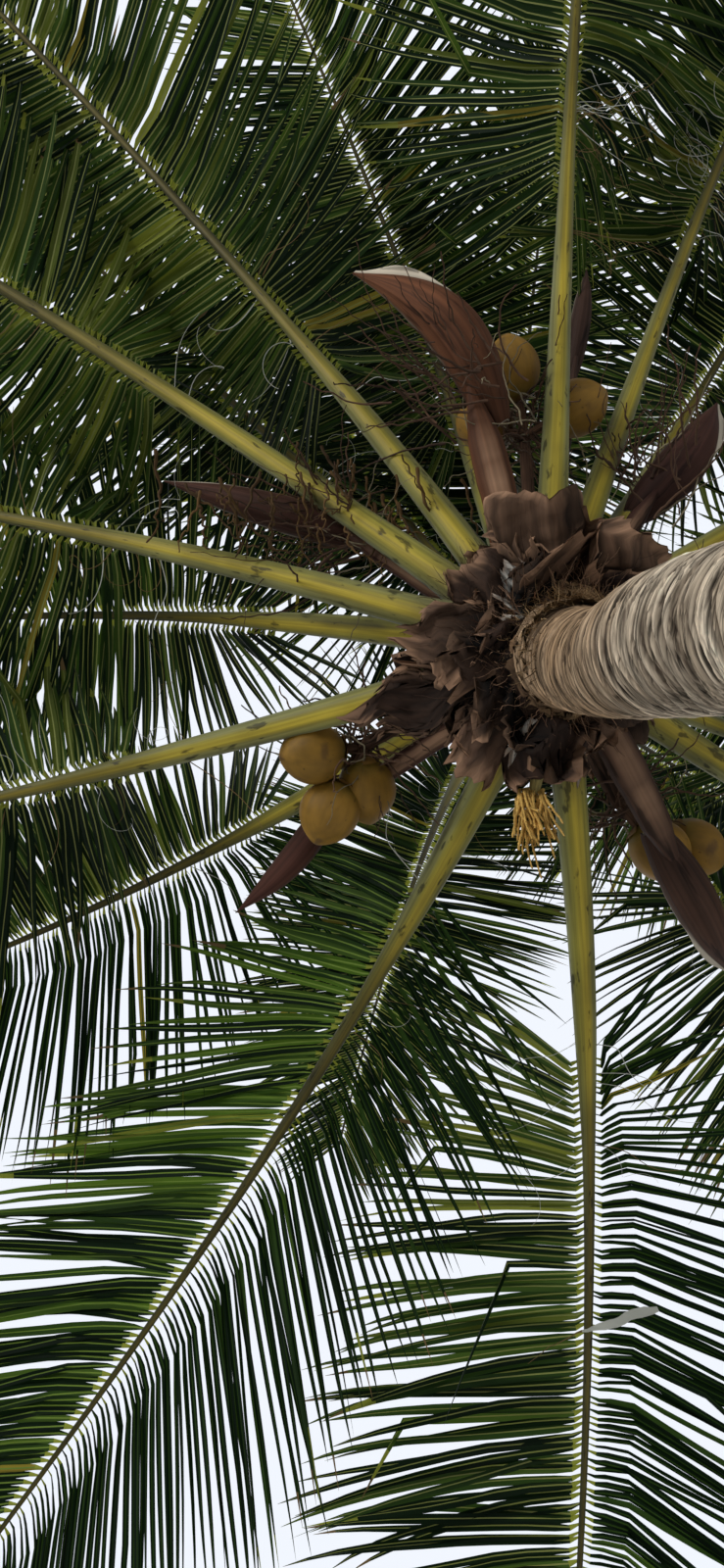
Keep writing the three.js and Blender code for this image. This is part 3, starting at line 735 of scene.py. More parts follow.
# Old leaf bases: azimuth, height, rise, reach, width, hollow, curl, tear
OLD_BASES = [
    (262, 10, 22, 400, 250, 0.75, -50, 0.10),
    (228, -20, 18, 380, 190, 0.35, 10, 0.40),
    (186, -30, 14, 480, 170, 0.45, 6, 0.40),
    (160, 10, 10, 590, 150, 0.30, 4, 0.45),
    (128, -10, 12, 420, 190, 0.50, -16, 0.35),
    (95, -30, 20, 370, 230, 0.60, -40, 0.30),
    (52, -40, 18, 330, 190, 0.35, 0, 0.35),
    (22, -20, 20, 380, 200, 0.40, 0, 0.35),
    (345, -10, 18, 400, 210, 0.35, 8, 0.35),
    (305, -10, 20, 400, 200, 0.65, -36, 0.20),
]
# Bleached scraps between them: azimuth, height and reach
SCRAPS = [(332, -50, 270), (325, -30, 240), (116, 0, 360), (79, -30, 380), (100, 20, 300), (236, -20, 300),
          (205, -60, 240)]
TORN_SHEETS = 26
COLLARS = 12
GOLDEN_ANGLE = 137.5
FIBRE_DARK = np.array([0.022, 0.012, 0.009])
FIBRE_BROWN = np.array([0.070, 0.037, 0.022])
FIBRE_TAN = np.array([0.250, 0.146, 0.088])
FIBRE_GOLD = np.array([0.300, 0.195, 0.095])
FIBRE_GREY = np.array([0.560, 0.530, 0.470])
HAIR_STEPS = 7
HAIR_RADIUS = 0.0011
# Loose fibres: how many, lowest, highest, length, colour, how much they follow the girth, how far they
# stand out, how much they droop
HAIR = [
    (900, -0.30, -0.05, 0.07, FIBRE_GOLD, 2.5, 0.25, 0.4),
    (500, -0.08, 0.05, 0.12, FIBRE_TAN, 1.2, 0.8, 1.0),
    (1000, 0.0, 0.5, 0.20, FIBRE_BROWN, 0.9, 1.0, 1.0),
]


def add_core(shape, rng):
    t, a = over_tube(rings=90, sides=96)
    h = -0.1 + 0.82 * t
    lumps = 0.014 * ripples(rng, a, h, 16, 9, 22.0) + 0.006 * ripples(rng, a, h, 24, 30, 90.0)
    radius = smooth_rows(h, BOSS_SECTIONS, 1) * 0.9 + lumps
    lean = 0.015 * (1 - t)
    points = CROWN + stacked(radius * np.cos(a), radius * np.sin(a) + lean, h)
    shade = np.clip(0.4 + 0.6 * ripples(rng, a, h, 20, 12, 40.0), 0, 1)
    place = stacked(np.cos(a) * 0.2, np.sin(a) * 0.2, h)
    # The core is painted very dark: painted shade in the gaps between the sheets
    shape.ring(points, mix(FIBRE_DARK, FIBRE_BROWN, shade) * 0.6, place)


def add_sheath(shape, rng, azimuth, height, rise, start, reach, width, hollow, curl, tear, tint, wall, turn,
               tilt, fold):
    """A sheet from inside the boss outwards, hollow across, curled along, creased and torn."""
    t, w = over_sheet(rows=30, columns=25)
    jags = np.clip(0.45 + 0.6 * waves(rng, w * 5) + rng.random(len(w)) * 0.16, 0, 1.3)
    along = t * (1 - tear * jags - 0.3 * tear * np.abs(w)) * (reach - start)
    lean = np.radians(rise + curl * along / (reach - start) * 0.6)
    bites = 1 - 0.35 * tear * np.clip(waves(rng, t * 11), 0, 1)
    half = width / 2 * (0.5 + 0.5 * np.sin(np.pi * np.clip(0.1 + 0.6 * t, 0, 1))) * bites
    bend = np.radians(50 + 70 * hollow)
    over = half * np.sin(w * bend) / np.sin(min(bend, np.pi / 2))
    cup = hollow * half * (1 - np.cos(w * bend)) * 1.2
    a = np.radians(azimuth + turn * t)
    c = np.cos(np.radians(tilt))
    s = np.sin(np.radians(tilt))
    low = CROWN + times(outwards(a), start + along * np.cos(lean)) + times(sideways(a), over * c - cup * s) \
        + times(UP, height + along * np.sin(lean) + cup * c + over * s)
    loose = smoothstep(0.05, 0.5, t)
    for size, depth, folds in ((0.15, fold * 1.2, 4), (0.04, fold * 0.2, 7)):
        low = low + times(crumpled(rng, low, size, depth, folds) - low, loose)
    normal = unit(np.cross(np.gradient(low, axis=0), np.gradient(low, axis=1)))
    high = low + times(normal, wall * (1 - 0.6 * t))
    # Pale tan side edges and outer ends: painted highlight
    edge = np.clip(np.abs(w) ** 9 + smoothstep(0.88, 1.0, t) * 0.8, 0, 1)
    stripe = np.clip(0.5 + 0.5 * waves(rng, w * 17), 0, 1)
    colour = mix(mix(tint * 0.45, tint * 1.4, stripe), FIBRE_TAN * 1.6, edge * 0.75)
    # Darker towards the inside of the boss, down to near black: painted shade
    colour = times(colour, 0.02 + 1.05 * smoothstep(0.30, 0.92, t))
    where = stacked(w * half, 0.0, along) + rng.uniform(-4, 4, 3)
    # The back face is a darker copy of the front: painted shade
    shape.ring(both_faces(low, high), both_faces(colour, colour * 0.8), both_faces(where, where))


def add_collar(shape, rng, middle, sweep, low, high, lift, tint):
    """A torn strip of fibre that lies round the neck under the boss."""
    t, b = over_sheet(rows=9, columns=46)
    a = np.radians(middle + b * sweep / 2)
    upper = high + 0.012 * waves(rng, b * 12) - 0.03 * np.abs(b) ** 3
    lower = low + 0.014 * waves(rng, b * 18) + rng.random(len(b)) * 0.018
    h = lower + (upper - lower) * t
    flare = lift * (1 - t) ** 1.5 * (1 + 0.5 * waves(rng, b * 7))
    radius = smooth_rows(h, NECK_SECTIONS, 1) + 0.004 + flare
    face = CROWN + stacked(radius * np.cos(a), radius * np.sin(a) + 0.015, h)
    face = crumpled(rng, face, 0.05, 0.005, 7)
    shade = np.clip(0.5 + 0.5 * ripples(rng, a, h, 14, 9, 60.0), 0, 1)
    colour = mix(tint * 0.45, tint * 1.4, shade)
    where = stacked(h, 0.0, a * 0.13) + rng.uniform(-4, 4, 3)
    # The back face is a darker copy of the front: painted shade
    shape.ring(both_faces(face, face - outwards(a) * 0.003), both_faces(colour, colour * 0.6),
               both_faces(where, where))


def add_hair(shape, rng, count, low, high, length, tint, round_it, out, droop):
    """Loose fibres on the trunk's neck and the boss."""
    azimuth = rng.uniform(0, 360, count)
    h = rng.uniform(low, high, count)
    starts = round_crown(azimuth, smooth_rows(h, NECK_SECTIONS, 1) * 0.98, h)
    away = outwards(np.radians(azimuth))
    heading = unit(away * out + times(sideways(np.radians(azimuth)), rng.normal(0, round_it, count))
                   + times(UP, rng.normal(0, 0.5, count)))
    lengths = rng.uniform(0.4, 1.0, count) * length
    path = wandering(rng, starts, heading, lengths, HAIR_STEPS, droop, 0.8)
    flat = unit(np.cross(np.gradient(path, axis=1), away[:, None, :] + 0.3 * UP))
    thin = np.linspace(1, 0.35, HAIR_STEPS + 1)
    flat = times(flat, HAIR_RADIUS * thin * rng.uniform(0.6, 1.8, (count, 1)))
    sheet = np.stack([path - flat, path + flat], axis=2)
    shape.grid(sheet, 0, tint * rng.uniform(0.4, 1.6, count)[:, None, None, None], sheet)


def add_boss(shape, rng):
    add_core(shape, rng)
    for azimuth, height, rise, reach, width, hollow, curl, tear in OLD_BASES:
        height, reach, width = height / 1000, reach / 1000, width / 1000
        tint = mix(FIBRE_DARK * 1.5, FIBRE_TAN, rng.uniform(0.1, 0.75) ** 1.6)
        add_sheath(shape, rng, azimuth, height, rise, 0.06, reach, width, hollow, curl, tear * 0.6, tint,
                   wall=0.014, turn=0, tilt=rng.uniform(-15, 15), fold=0.028)
        # The second, higher layer takes half the first one's colour: painted shade
        add_sheath(shape, rng, azimuth + rng.uniform(-14, 14), height + 0.03, rise + 10, 0.06, reach * 0.84,
                   width * 1.25, hollow, curl + rng.uniform(-25, 25), 0.35, tint * 0.5,
                   wall=0.004, turn=rng.uniform(-15, 15), tilt=rng.uniform(-35, 35), fold=0.035)
    for k in range(TORN_SHEETS):
        azimuth = k * GOLDEN_ANGLE + rng.uniform(-12, 12)
        height = -0.07 + 0.36 * (k / TORN_SHEETS) + rng.uniform(-0.03, 0.03)
        tint = mix(FIBRE_DARK, FIBRE_TAN * 1.1, rng.random() ** 2.8)
        add_sheath(shape, rng, azimuth, height, rng.uniform(-5, 45) + 60 * max(0, height), 0.09,
                   rng.uniform(0.25, 0.38), rng.uniform(0.18, 0.34), rng.uniform(0.2, 0.9),
                   rng.uniform(-90, 60), rng.uniform(0.1, 0.4), tint,
                   wall=0.0035, turn=rng.uniform(-40, 40), tilt=rng.uniform(-60, 60), fold=0.045)
    for azimuth, height, reach in SCRAPS:
        add_sheath(shape, rng, azimuth, height / 1000, rng.uniform(5, 20), 0.1, reach / 1000,
                   rng.uniform(0.07, 0.12), 0.5, rng.uniform(-35, 25), 0.6,
                   FIBRE_GREY * rng.uniform(0.8, 1.2),
                   wall=0.003, turn=0, tilt=rng.uniform(-30, 30), fold=0.02)
    for k in range(COLLARS):
        low = -0.24 + 0.16 * (k / COLLARS) + rng.uniform(-0.02, 0.02)
        tint = mix(FIBRE_BROWN * 1.5, FIBRE_GOLD, rng.uniform(0.2, 1.0))
        add_collar(shape, rng, k * GOLDEN_ANGLE, rng.uniform(60, 130), low, low + rng.uniform(0.05, 0.09),
                   rng.uniform(0.001, 0.012), tint)


# Spathes and the stalks under them: where the stalk starts, the boat's foot and tip, its width and
# depth, the stalk's thickness, how far it bows to the side, how far its lips roll out, and its colour

SPATHES = [
    ((262, 330), (263, 660, 420), (246, 1240, 560), 165, 85, 50, 85, 1, (0.112, 0.044, 0.021)),
    ((212, 330), (219, 520, 540), (206, 1200, 640), 110, 60, 30, 0, 0.15, (0.056, 0.024, 0.016)),
    ((119, 300), (141, 700, 660), (137, 1180, 580), 95, 70, 28, -25, 0, (0.072, 0.029, 0.020)),
    ((313, 320), (311, 560, 560), (310, 1050, 700), 150, 80, 26, 20, 1, (0.060, 0.026, 0.019)),
    ((295, 500), (285, 950, 940), (284, 1380, 1090), 70, 50, 22, 0, 0, (0.050, 0.026, 0.018)),
    ((46, 70), (57, 600, 170), (57, 1150, 330), 134, 84, 46, 0, 0.6, (0.070, 0.036, 0.024)),
]
SPATHE_WALL = 0.009
SPATHE_LINING = np.array([0.470, 0.420, 0.330])
STRING_BROWN = np.array([0.085, 0.045, 0.026])
STRING_PALE = np.array([0.200, 0.165, 0.100])
STRING_GOLD = np.array([0.092, 0.050, 0.016])
# Level directions: down the picture and to its left
SOUTH = np.array([0.15, 1.0, 0.0])
WEST = np.array([-1.0, 0.0, 0.0])


def stem_start(azimuth, height):
    return round_crown(azimuth, START_RADIUS, height / 1000)


def grooved_stalk(shape, rng, start, end, sag, radii, tint, mark=0, underside_highlight=None):
    """A fibrous stalk with lengthwise grooves and, if asked for, a painted highlight of another colour along
    its underside. radii are those of its two ends, or of its start, three quarters and end."""
    t, a = over_tube(rings=34, sides=22)
    path = start + times(end - start, t) + times(UP, sag * np.sin(np.pi * t))
    heading = unit(np.gradient(path, axis=0))
    side = unit(np.cross(UP, heading))
    over = np.cross(heading, side)
    groove = 1 + 0.10 * waves(rng, a * 4) + 0.05 * np.cos(a * 7)
    knots = [0, 1] if len(radii) == 2 else [0, 0.75, 1]
    radius = np.interp(t, knots, radii) * groove * (1 + 0.05 * waves(rng, t * 9))
    points = path + times(side, radius * np.cos(a)) + times(over, radius * np.sin(a) * 0.72)
    colour = times(tint, 0.75 + 0.5 * smoothstep(0.8, 1.2, groove)) + 0 * points
    if underside_highlight is not None:
        # A tan band along the underside, fading towards the end: painted highlight
        highlight_band = np.clip(np.exp(-((np.sin(a) + 1) / 0.2) ** 2) * (0.8 + 0.4 * waves(rng, t * 12)), 0, 1)
        colour = mix(colour, underside_highlight, highlight_band * (1 - smoothstep(0.5, 0.95, t)))
    place = stacked(np.cos(a) * 0.04, np.sin(a) * 0.04, t * np.linalg.norm(end - start))
    shape.ring(points, colour, place + rng.uniform(-4, 4, 3), mark)


def add_spathe(shape, rng, root, foot, tip, width, depth, stem, bow, lip, tint):
    tint = np.array(tint)
    foot = row_point(*foot)
    width, depth, stem = width / 1000, depth / 1000, stem / 1000
    axis = row_point(*tip) - foot
    long = np.linalg.norm(axis)
    heading = unit(axis)
    side = unit(np.cross(UP, heading))
    up = np.cross(heading, side)
    t, w = over_sheet(rows=54, columns=33)
    a = np.pi * (w * 0.5 - 0.5)
    full = np.sin(np.pi * np.minimum(0.985, 0.12 + 0.865 * t ** 0.9)) ** 0.75 * (1 - 0.75 * t ** 7)
    grooves = (0.0007 * np.cos(w * 64 + 2 * t) + 0.0012 * waves(rng, w * 22)) * full
    line = foot + times(axis, t) + times(up, depth * 0.5 * (2 * t - 1) ** 2) \
        + times(side, bow / 1000 * np.sin(np.pi * t))
    wave = 0.05 * waves(rng, t * 8) * np.abs(w) ** 6
    rolled = lip * np.clip((w - 0.78) / 0.22, 0, 1) * smoothstep(0.50, 0.85, t)
    rolled = rolled * (1 - 0.7 * smoothstep(0.85, 1, t))
    line = line + times(side, rolled * width * 0.20) - times(up, rolled ** 2 * width * 0.12)
    broad = full * width / 2 * (1 + wave)
    wall = SPATHE_WALL * (0.35 + 0.65 * full)
    outer = line + times(side, np.cos(a) * (broad + grooves)) \
        + times(up, np.sin(a) * (depth * full + grooves) + wave * 0.05)
    inner = line + times(side, np.cos(a) * (broad - wall)) \
        + times(up, np.sin(a) * (depth * full - wall) + wave * 0.05 + 0.002)
    streak = np.clip(0.5 + 0.5 * waves(rng, w * 13), 0, 1) * np.ones_like(t)
    skin = times(mix(tint * 0.72, tint * 1.3, streak), 0.75 + 0.4 * smoothstep(0.1, 0.7, t))
    # A pale rim in the lining's colour along both edges of the outer face: painted highlight
    skin = mix(skin, SPATHE_LINING * 0.8, np.abs(w) ** 16 * smoothstep(0.15, 0.6, t))
    skin = mix(skin, SPATHE_LINING * 1.5, np.clip(rolled * 9, 0, 1) * (0.75 + 0.25 * streak))
    lining = mix(SPATHE_LINING * 0.6, SPATHE_LINING, streak)
    where = stacked(w * width, 0.0, t * long) + rng.uniform(-4, 4, 3)
    shape.ring(both_faces(outer, inner), both_faces(skin, lining), both_faces(where, where))
    end = foot - up * depth * 0.40 + heading * long * 0.20
    # The spathe's stalk carries a tan painted highlight along its underside
    grooved_stalk(shape, rng, stem_start(*root), end, -0.02, (stem * 1.2, stem * 0.95, stem * 0.2),
                  tint * 0.9, 0, FIBRE_TAN * 1.5)
    return foot, heading


def add_strings(shape, rng, centre, count, length, spread, droop, tint, radius, mark, wander,
                lead=None, stray=0.8, wavy=0.003):
    """Knobbly dry flower strings that scatter from a place and hang. lead is where they head."""
    steps = 26
    starts = centre + rng.normal(0, spread, (count, 3))
    heading = rng.normal(0, 1, (count, 3)) * np.array([1, 1, 0.55])
    if lead is not None:
        heading = unit(heading) * stray + unit(lead) * 1.1
    lengths = rng.uniform(0.45, 1.0, count) * length
    path = wandering(rng, starts, unit(heading), lengths, steps, rng.uniform(0.4, 1.6, count) * droop, wander)
    each = (count, 1, 3)
    phase = rng.uniform(0, 7, each) + np.arange(steps + 1)[:, None] * rng.uniform(0.6, 1.5, each)
    path = path + wavy * np.sin(phase) * np.linspace(0.2, 1, steps + 1)[:, None]
    knobs = 1 + 0.5 * (np.arange(steps + 1) % 2) * rng.uniform(0, 1, (count, steps + 1))
    radii = radius * rng.uniform(0.6, 1.35, (count, 1)) * knobs * np.linspace(1.2, 0.5, steps + 1)
    shape.tubes(path, radii, 5, mark, times(tint, rng.uniform(0.6, 1.5, count)))


# Coconut bunches: where the stalk starts and ends, and the middles of the nuts

BUNCHES = [
    ((152, 240), (150, 560, 440), [(155, 690, 370), (141, 740, 390), (139, 620, 440)]),
    ((284, 340), (274, 680, 720), [(270, 880, 690), (285, 790, 690), (265, 740, 810)]),
    ((56, 240), (58, 530, 400), [(56, 700, 340), (48, 790, 430)]),
    ((352, 240), (351, 560, 330), [(356, 700, 240), (343, 730, 270), (350, 800, 380)]),
]
NUT_RADIUS = 0.088
NUT_STRETCH = 1.12
CAP_SCALES = 6
HUSK_OCHRE = np.array([0.215, 0.114, 0.014])
HUSK_TAN = np.array([0.308, 0.166, 0.027])
HUSK_GREEN = np.array([0.120, 0.110, 0.022])
HUSK_BROWN = np.array([0.085, 0.045, 0.022])


def add_nut(shape, rng, centre, hub):
    """A nut with three soft ridges, and the scales of its cap round the stem."""
    away = unit(centre - hub)
    side = unit(np.cross(away, [0.31, 0.17, 0.93]))
    over = np.cross(away, side)
    t, a = over_tube(rings=44, sides=48)
    p = 0.002 + (np.pi - 0.004) * t
    swell = 1 + 0.035 * np.cos(3 * a + rng.uniform(0, 7)) * np.sin(p) + 0.012 * ripples(rng, a, p, 8, 3, 2.0)
    along = -np.cos(p) * NUT_STRETCH * (1 + 0.06 * np.exp(-((np.pi - p) / 0.3) ** 2))
    across = NUT_RADIUS * np.sin(p) * (1 - 0.10 * smoothstep(1.6, 3.0, p)) * swell
    points = centre + times(away, NUT_RADIUS * along) + times(side, across * np.cos(a)) \
        + times(over, across * np.sin(a))
    tint = mix(HUSK_OCHRE, HUSK_TAN, np.clip(0.45 + 0.5 * ripples(rng, a, p, 8, 3, 2.5), 0, 1))
    tint = mix(tint, HUSK_GREEN, (1 - smoothstep(0.3, 1.3, p)) * 0.75)
    tint = mix(tint, HUSK_BROWN, smoothstep(0.9, 1.5, ripples(rng, a, p, 24, 5, 6.0)) * 0.6)
    tint = mix(tint, HUSK_BROWN, np.exp(-((np.pi - p) / 0.14) ** 2) * 0.8)
    place = stacked(np.cos(a) * np.sin(p), np.sin(a) * np.sin(p), p)
    shape.ring(points, tint, place + rng.uniform(-5, 5, 3))
    for k in range(CAP_SCALES):
        b = k * 2 * np.pi / CAP_SCALES + rng.uniform(-0.2, 0.2)
        q = np.linspace(0.05, 0.62 + 0.1 * (k % 2), 8)[:, None]
        angle = b + np.linspace(-1, 1, 7) * 0.62 * np.sqrt(1 - (q / 0.85) ** 2)
        lift = 1.035 + 0.02 * (k % 2) + 0.10 * (q / 0.7) ** 3 * rng.uniform(0, 1)
        lift = lift * NUT_RADIUS
        scale = centre + times(away, -np.cos(q) * NUT_STRETCH * lift) \
            + times(side, np.sin(q) * np.cos(angle) * lift) + times(over, np.sin(q) * np.sin(angle) * lift)
        shape.grid(scale, 0, mix(HUSK_BROWN, HUSK_TAN, q / 0.75 * 0.7), scale)


def add_bunch(shape, rng, root, end, nuts):
    hub = row_point(*end)
    grooved_stalk(shape, rng, stem_start(*root), hub, 0.02, (0.028, 0.018), FIBRE_BROWN, 1)
    for nut in nuts:
        centre = row_point(*nut)
        add_nut(shape, rng, centre, hub)
        near = centre + unit(hub - centre) * NUT_RADIUS * 1.05
        grooved_stalk(shape, rng, hub, near, -0.01, (0.013, 0.015), STRING_BROWN * 1.3, 1)
    add_strings(shape, rng, hub, 34, 0.42, 0.03, 1.0, STRING_BROWN, radius=0.0028, mark=2, wander=0.9)
    add_strings(shape, rng, hub, 12, 0.34, 0.03, 0.9, STRING_PALE, radius=0.002, mark=2, wander=1.2)


# Young flowers

FLOWER_AZIMUTH = 97
FLOWER_RADIUS = 0.38
FLOWER_HEIGHT = 0.04
FLOWER_STRINGS = 44
FLOWER_STALK = np.array([0.30, 0.25, 0.09])
FLOWER_GOLD = np.array([0.640, 0.400, 0.105])


def add_flowers(shape, rng):
    count, steps = FLOWER_STRINGS, 44
    hub = round_crown(FLOWER_AZIMUTH, FLOWER_RADIUS, FLOWER_HEIGHT)
    start = round_crown(FLOWER_AZIMUTH, START_RADIUS, FLOWER_HEIGHT - 0.04)
    grooved_stalk(shape, rng, start, hub, 0.0, (0.026, 0.014), FLOWER_STALK)
    azimuth = FLOWER_AZIMUTH + rng.uniform(-6, 11, count)
    starts = round_crown(azimuth, FLOWER_RADIUS + rng.uniform(-0.03, 0.05, count), FLOWER_HEIGHT)
    tips = round_crown(azimuth + rng.normal(0, 1.5, count), FLOWER_RADIUS + rng.uniform(0.08, 0.16, count),
                       FLOWER_HEIGHT - 0.2)
    lengths = rng.uniform(0.16, 0.30, count)
    path = wandering(rng, starts * 0.6 + hub * 0.4, unit(tips - starts), lengths, steps, 0.5, 0.22)
    knobs = 1 + 1.3 * (np.arange(steps + 1) % 2) * rng.uniform(0.2, 1, (count, steps + 1))
    radii = 0.0025 * knobs * np.linspace(1.1, 0.6, steps + 1)
    shape.tubes(path, radii, 6, 0, times(FLOWER_GOLD, rng.uniform(0.65, 1.3, count)))


# Spear leaf, still folded

SPEAR_FOOT = 0.64
SPEAR_LENGTH = 1.9
SPEAR_RADIUS = 0.048
SPEAR_LIME = np.array([0.300, 0.340, 0.060])
SPEAR_GREEN = np.array([0.140, 0.190, 0.035])


def add_spear(shape, rng):
    t, a = over_tube(rings=90, sides=40)
    pleats = 1 + 0.16 * np.cos(8 * a + 2.5 * t) + 0.05 * waves(rng, a * 5)
    radius = SPEAR_RADIUS * np.maximum(1 - t, 0.0015) ** 0.6 * pleats * 0.95
    points = CROWN + stacked(radius * np.cos(a), radius * np.sin(a), SPEAR_FOOT + SPEAR_LENGTH * t)
    tint = mix(SPEAR_GREEN, SPEAR_LIME, smoothstep(0.85, 1.2, pleats))
    shape.ring(points, tint, stacked(np.cos(a) * 0.04, np.sin(a) * 0.04, SPEAR_LENGTH * t))


# How old each frond looks, with painted light in the same numbers: older ones are more olive and have drier
# tips, the lower, front fronds are lighter partly by age and partly as painted highlight, and below zero the
# upper, back fronds are darkened as painted shade
AGES_AND_PAINTED_LIGHT = [0.5, 0.5, 0.3, 0.4, 0.3, 0.4, 0.0, 0.1] + [0.4] * 3 + [-0.35] * 7 + [-0.7] * 5
# How many threads hang at the fronds that carry most of them, and at the others
REINS = {1: 22, 2: 44, 3: 8, 5: 10, 6: 12, 7: 6, 8: 8}
FEW_REINS = 4
# Fronds whose first leaflets are lighter, the one with fresher greens, the one whose first leaflets
# curl back on one side and whose rib is less brown, and the one under the dead strip
LIT_FRONDS = (7, 8)
LIT = 1.1
UNLIT = -0.3
FRESH_FROND = 7
CURLED_FROND = 1
SWEPT = 1.4
LEAF_ZONE_GREY = 0.9
LESS_LEAF_ZONE_GREY = 0.65
STRIP_FROND = 8

rng = np.random.default_rng(11)
ribs = [Rib(*row) for row in FRONDS]
for number, (rib, age_and_painted_light) in enumerate(zip(ribs, AGES_AND_PAINTED_LIGHT), start=1):
    name = f"frond_{number:02d}"
    curled = number == CURLED_FROND
    lit = LIT if number in LIT_FRONDS else UNLIT
    if number in BROAD_RIBS:
        rib.slimmer = BROAD_SLIMMER
    blades = Shape(f"{name}_leaflets")
    for hand in (1, -1):
        swept = SWEPT if curled and hand == 1 else 0.0
        add_leaflets(blades, rib, hand, rng, age_and_painted_light, lit, number == FRESH_FROND, swept)
    add_reins(blades, rib, rng, REINS.get(number, FEW_REINS), (1,) if curled else (-1, 1))
    if number == STRIP_FROND:
        add_loose_strip(blades, rib, rng)
    blades.build(LEAVES, [f"{name}_outer"])
    stalk = Shape(f"{name}_rib")
    add_rib(stalk, rib, rng, LESS_LEAF_ZONE_GREY if curled else LEAF_ZONE_GREY)
    stalk.build([stalk_skin], [f"{name}_inner"])

rng = np.random.default_rng(5)
trunk = Shape("trunk_bark")
add_trunk(trunk, rng)
trunk.build([bark_skin], ["trunk"])

boss = Shape("crown_boss_fibre")
add_boss(boss, rng)
boss.build([sheath_skin], ["crown_boss"])

hair = Shape("crown_boss_hair")
for row in HAIR:
    add_hair(hair, rng, *row)
hair.build([string_skin])

spear = Shape("spear_leaf_pleats")
add_spear(spear, rng)
spear.build([stalk_skin], ["spear_leaf"])

# The spathes that flower strings hang from, with the number of strings, and the one with golden ones
HUNG_SPATHES = {1: 40, 2: 46, 4: 40}
GOLDEN_SPATHE = 2

for number, row in enumerate(SPATHES, start=1):
    shell = Shape(f"spathe_{number}_shell")
    foot, heading = add_spathe(shell, rng, *row)
    if number in HUNG_SPATHES:
        add_strings(shell, rng, foot + heading * 0.12 - UP * 0.03, HUNG_SPATHES[number], 0.42, 0.07, 1.1,
                    STRING_BROWN * 0.9, radius=0.0026, mark=1, wander=0.5, lead=heading + WEST * 0.7)
        if number == GOLDEN_SPATHE:
            add_strings(shell, rng, foot + heading * 0.2 - UP * 0.12 - SOUTH * 0.10, 40, 0.30,
                        np.abs(heading) * 0.17 + 0.01, 0.1, STRING_GOLD,
                        radius=0.0034, mark=1, wander=0.55, lead=SOUTH, stray=0.3, wavy=0.009)
        add_strings(shell, rng, foot, 8, 0.4, 0.06, 0.6, STRING_PALE,
                    radius=0.0018, mark=1, wander=0.9, lead=heading)
    shell.build([spathe_skin, string_skin], [f"spathe_{number}"])

for number, row in enumerate(BUNCHES, start=1):
    bunch = Shape(f"coconut_bunch_{number}_nuts")
    add_bunch(bunch, rng, *row)
    bunch.build([husk_skin, sheath_skin, string_skin], [f"coconut_bunch_{number}"])

flowers = Shape("inflorescence_strings")
add_flowers(flowers, rng)
flowers.build([string_skin], ["inflorescence"])

# Camera: it looks up, the picture's right is close to +X and the zenith falls on its own point

focal = LENS / SENSOR * IMAGE_SIZE[1]
up_in_camera = unit(np.array([ZENITH[0] - IMAGE_SIZE[0] / 2, ZENITH[1] - IMAGE_SIZE[1] / 2, focal]))
x_in_camera = np.array([1.0, 0.0, 0.0])
x_in_camera = unit(x_in_camera - up_in_camera * (x_in_camera @ up_in_camera))
y_in_camera = np.cross(up_in_camera, x_in_camera)
axes = np.stack([x_in_camera, y_in_camera, up_in_camera], axis=1)
camera_data = bpy.data.cameras.new("camera")
camera_data.lens = LENS
camera_data.sensor_width = SENSOR
camera = linked("camera", camera_data)
turned = Matrix((axes[0], -axes[1], -axes[2])).transposed()
camera.matrix_world = Matrix.Translation(EYE) @ turned.to_4x4()
bpy.context.scene.camera = camera

# Sky, soft light and floor

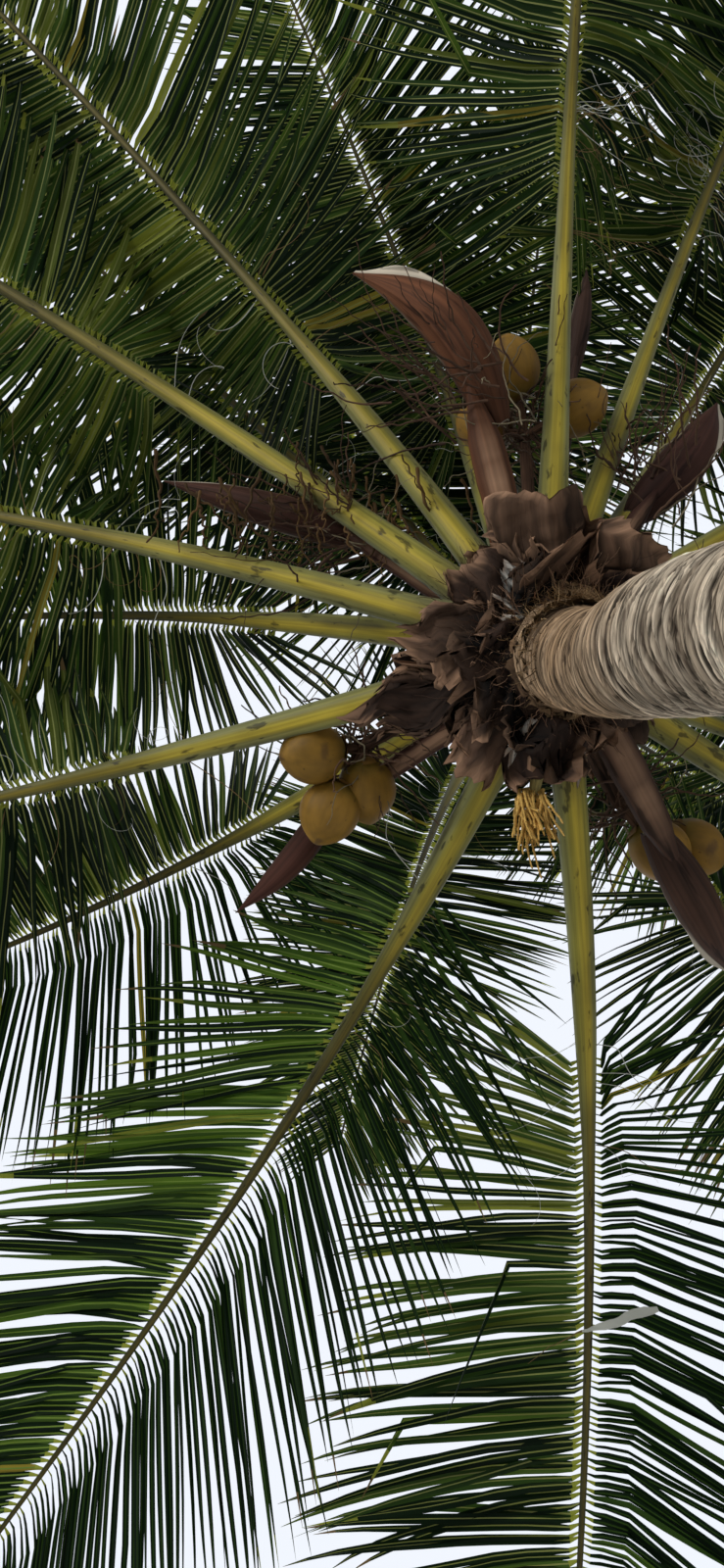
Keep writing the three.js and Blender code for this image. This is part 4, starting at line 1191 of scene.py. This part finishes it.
SKY_SEEN = (0.89, 0.93, 1.0, 1)
SKY_HIGH = (1.00, 1.02, 1.06, 1)
SKY_LOW = (0.15, 0.155, 0.16, 1)
FLOOR_GREY = (0.55, 0.55, 0.54, 1)
FLOOR_HALF = 40
FLOOR_LEVEL = -0.002
LIGHT_PLACE = (-6.5, -4.5, 2.7)
LIGHT_TARGET = (-0.95, 0.0, 5.8)
LIGHT_SIZE = 3.2
LIGHT_POWER = 82
LIGHT_SPREAD = 110

world = bpy.data.worlds.new("sky")
tree = cleared(world)
direction = node(tree, "TexCoord").outputs["Generated"]
height = node(tree, "SeparateXYZ", {"Vector": direction}).outputs["Z"]
rise = mapped(tree, height, -0.05, 0.7, 0.0, 1.0)
blend = node(tree, "Mix", {"Factor": rise, 6: SKY_LOW, 7: SKY_HIGH}, data_type="RGBA")
glow = node(tree, "Background", {"Color": blend.outputs[2], "Strength": 1.0})
plain = node(tree, "Background", {"Color": SKY_SEEN, "Strength": 1.0})
seen = node(tree, "LightPath").outputs["Is Camera Ray"]
both = node(tree, "MixShader", {0: seen, 1: glow.outputs[0], 2: plain.outputs[0]})
node(tree, "OutputWorld", {"Surface": both.outputs[0]})
bpy.context.scene.world = world

light_data = bpy.data.lights.new("soft_low", "AREA")
light_data.energy = LIGHT_POWER
light_data.size = LIGHT_SIZE
light_data.spread = math.radians(LIGHT_SPREAD)
light = linked("soft_low", light_data)
light.location = LIGHT_PLACE
light.rotation_mode = "QUATERNION"
light.rotation_quaternion = (Vector(LIGHT_TARGET) - Vector(LIGHT_PLACE)).to_track_quat("-Z", "Y")

corners = [(x * FLOOR_HALF, y * FLOOR_HALF, FLOOR_LEVEL) for x, y in ((-1, -1), (1, -1), (1, 1), (-1, 1))]
floor_mesh = bpy.data.meshes.new("floor")
floor_mesh.from_pydata(corners, [], [(0, 1, 2, 3)])
floor_mesh.update()
floor = linked("floor", floor_mesh)
floor_material, tree = new_material("floor_pale")
matt = node(tree, "BsdfPrincipled", {"Base Color": FLOOR_GREY, "Roughness": 0.9})
node(tree, "OutputMaterial", {"Surface": matt.outputs[0]})
floor_mesh.materials.append(floor_material)

bpy.context.scene.view_settings.view_transform = "Standard"
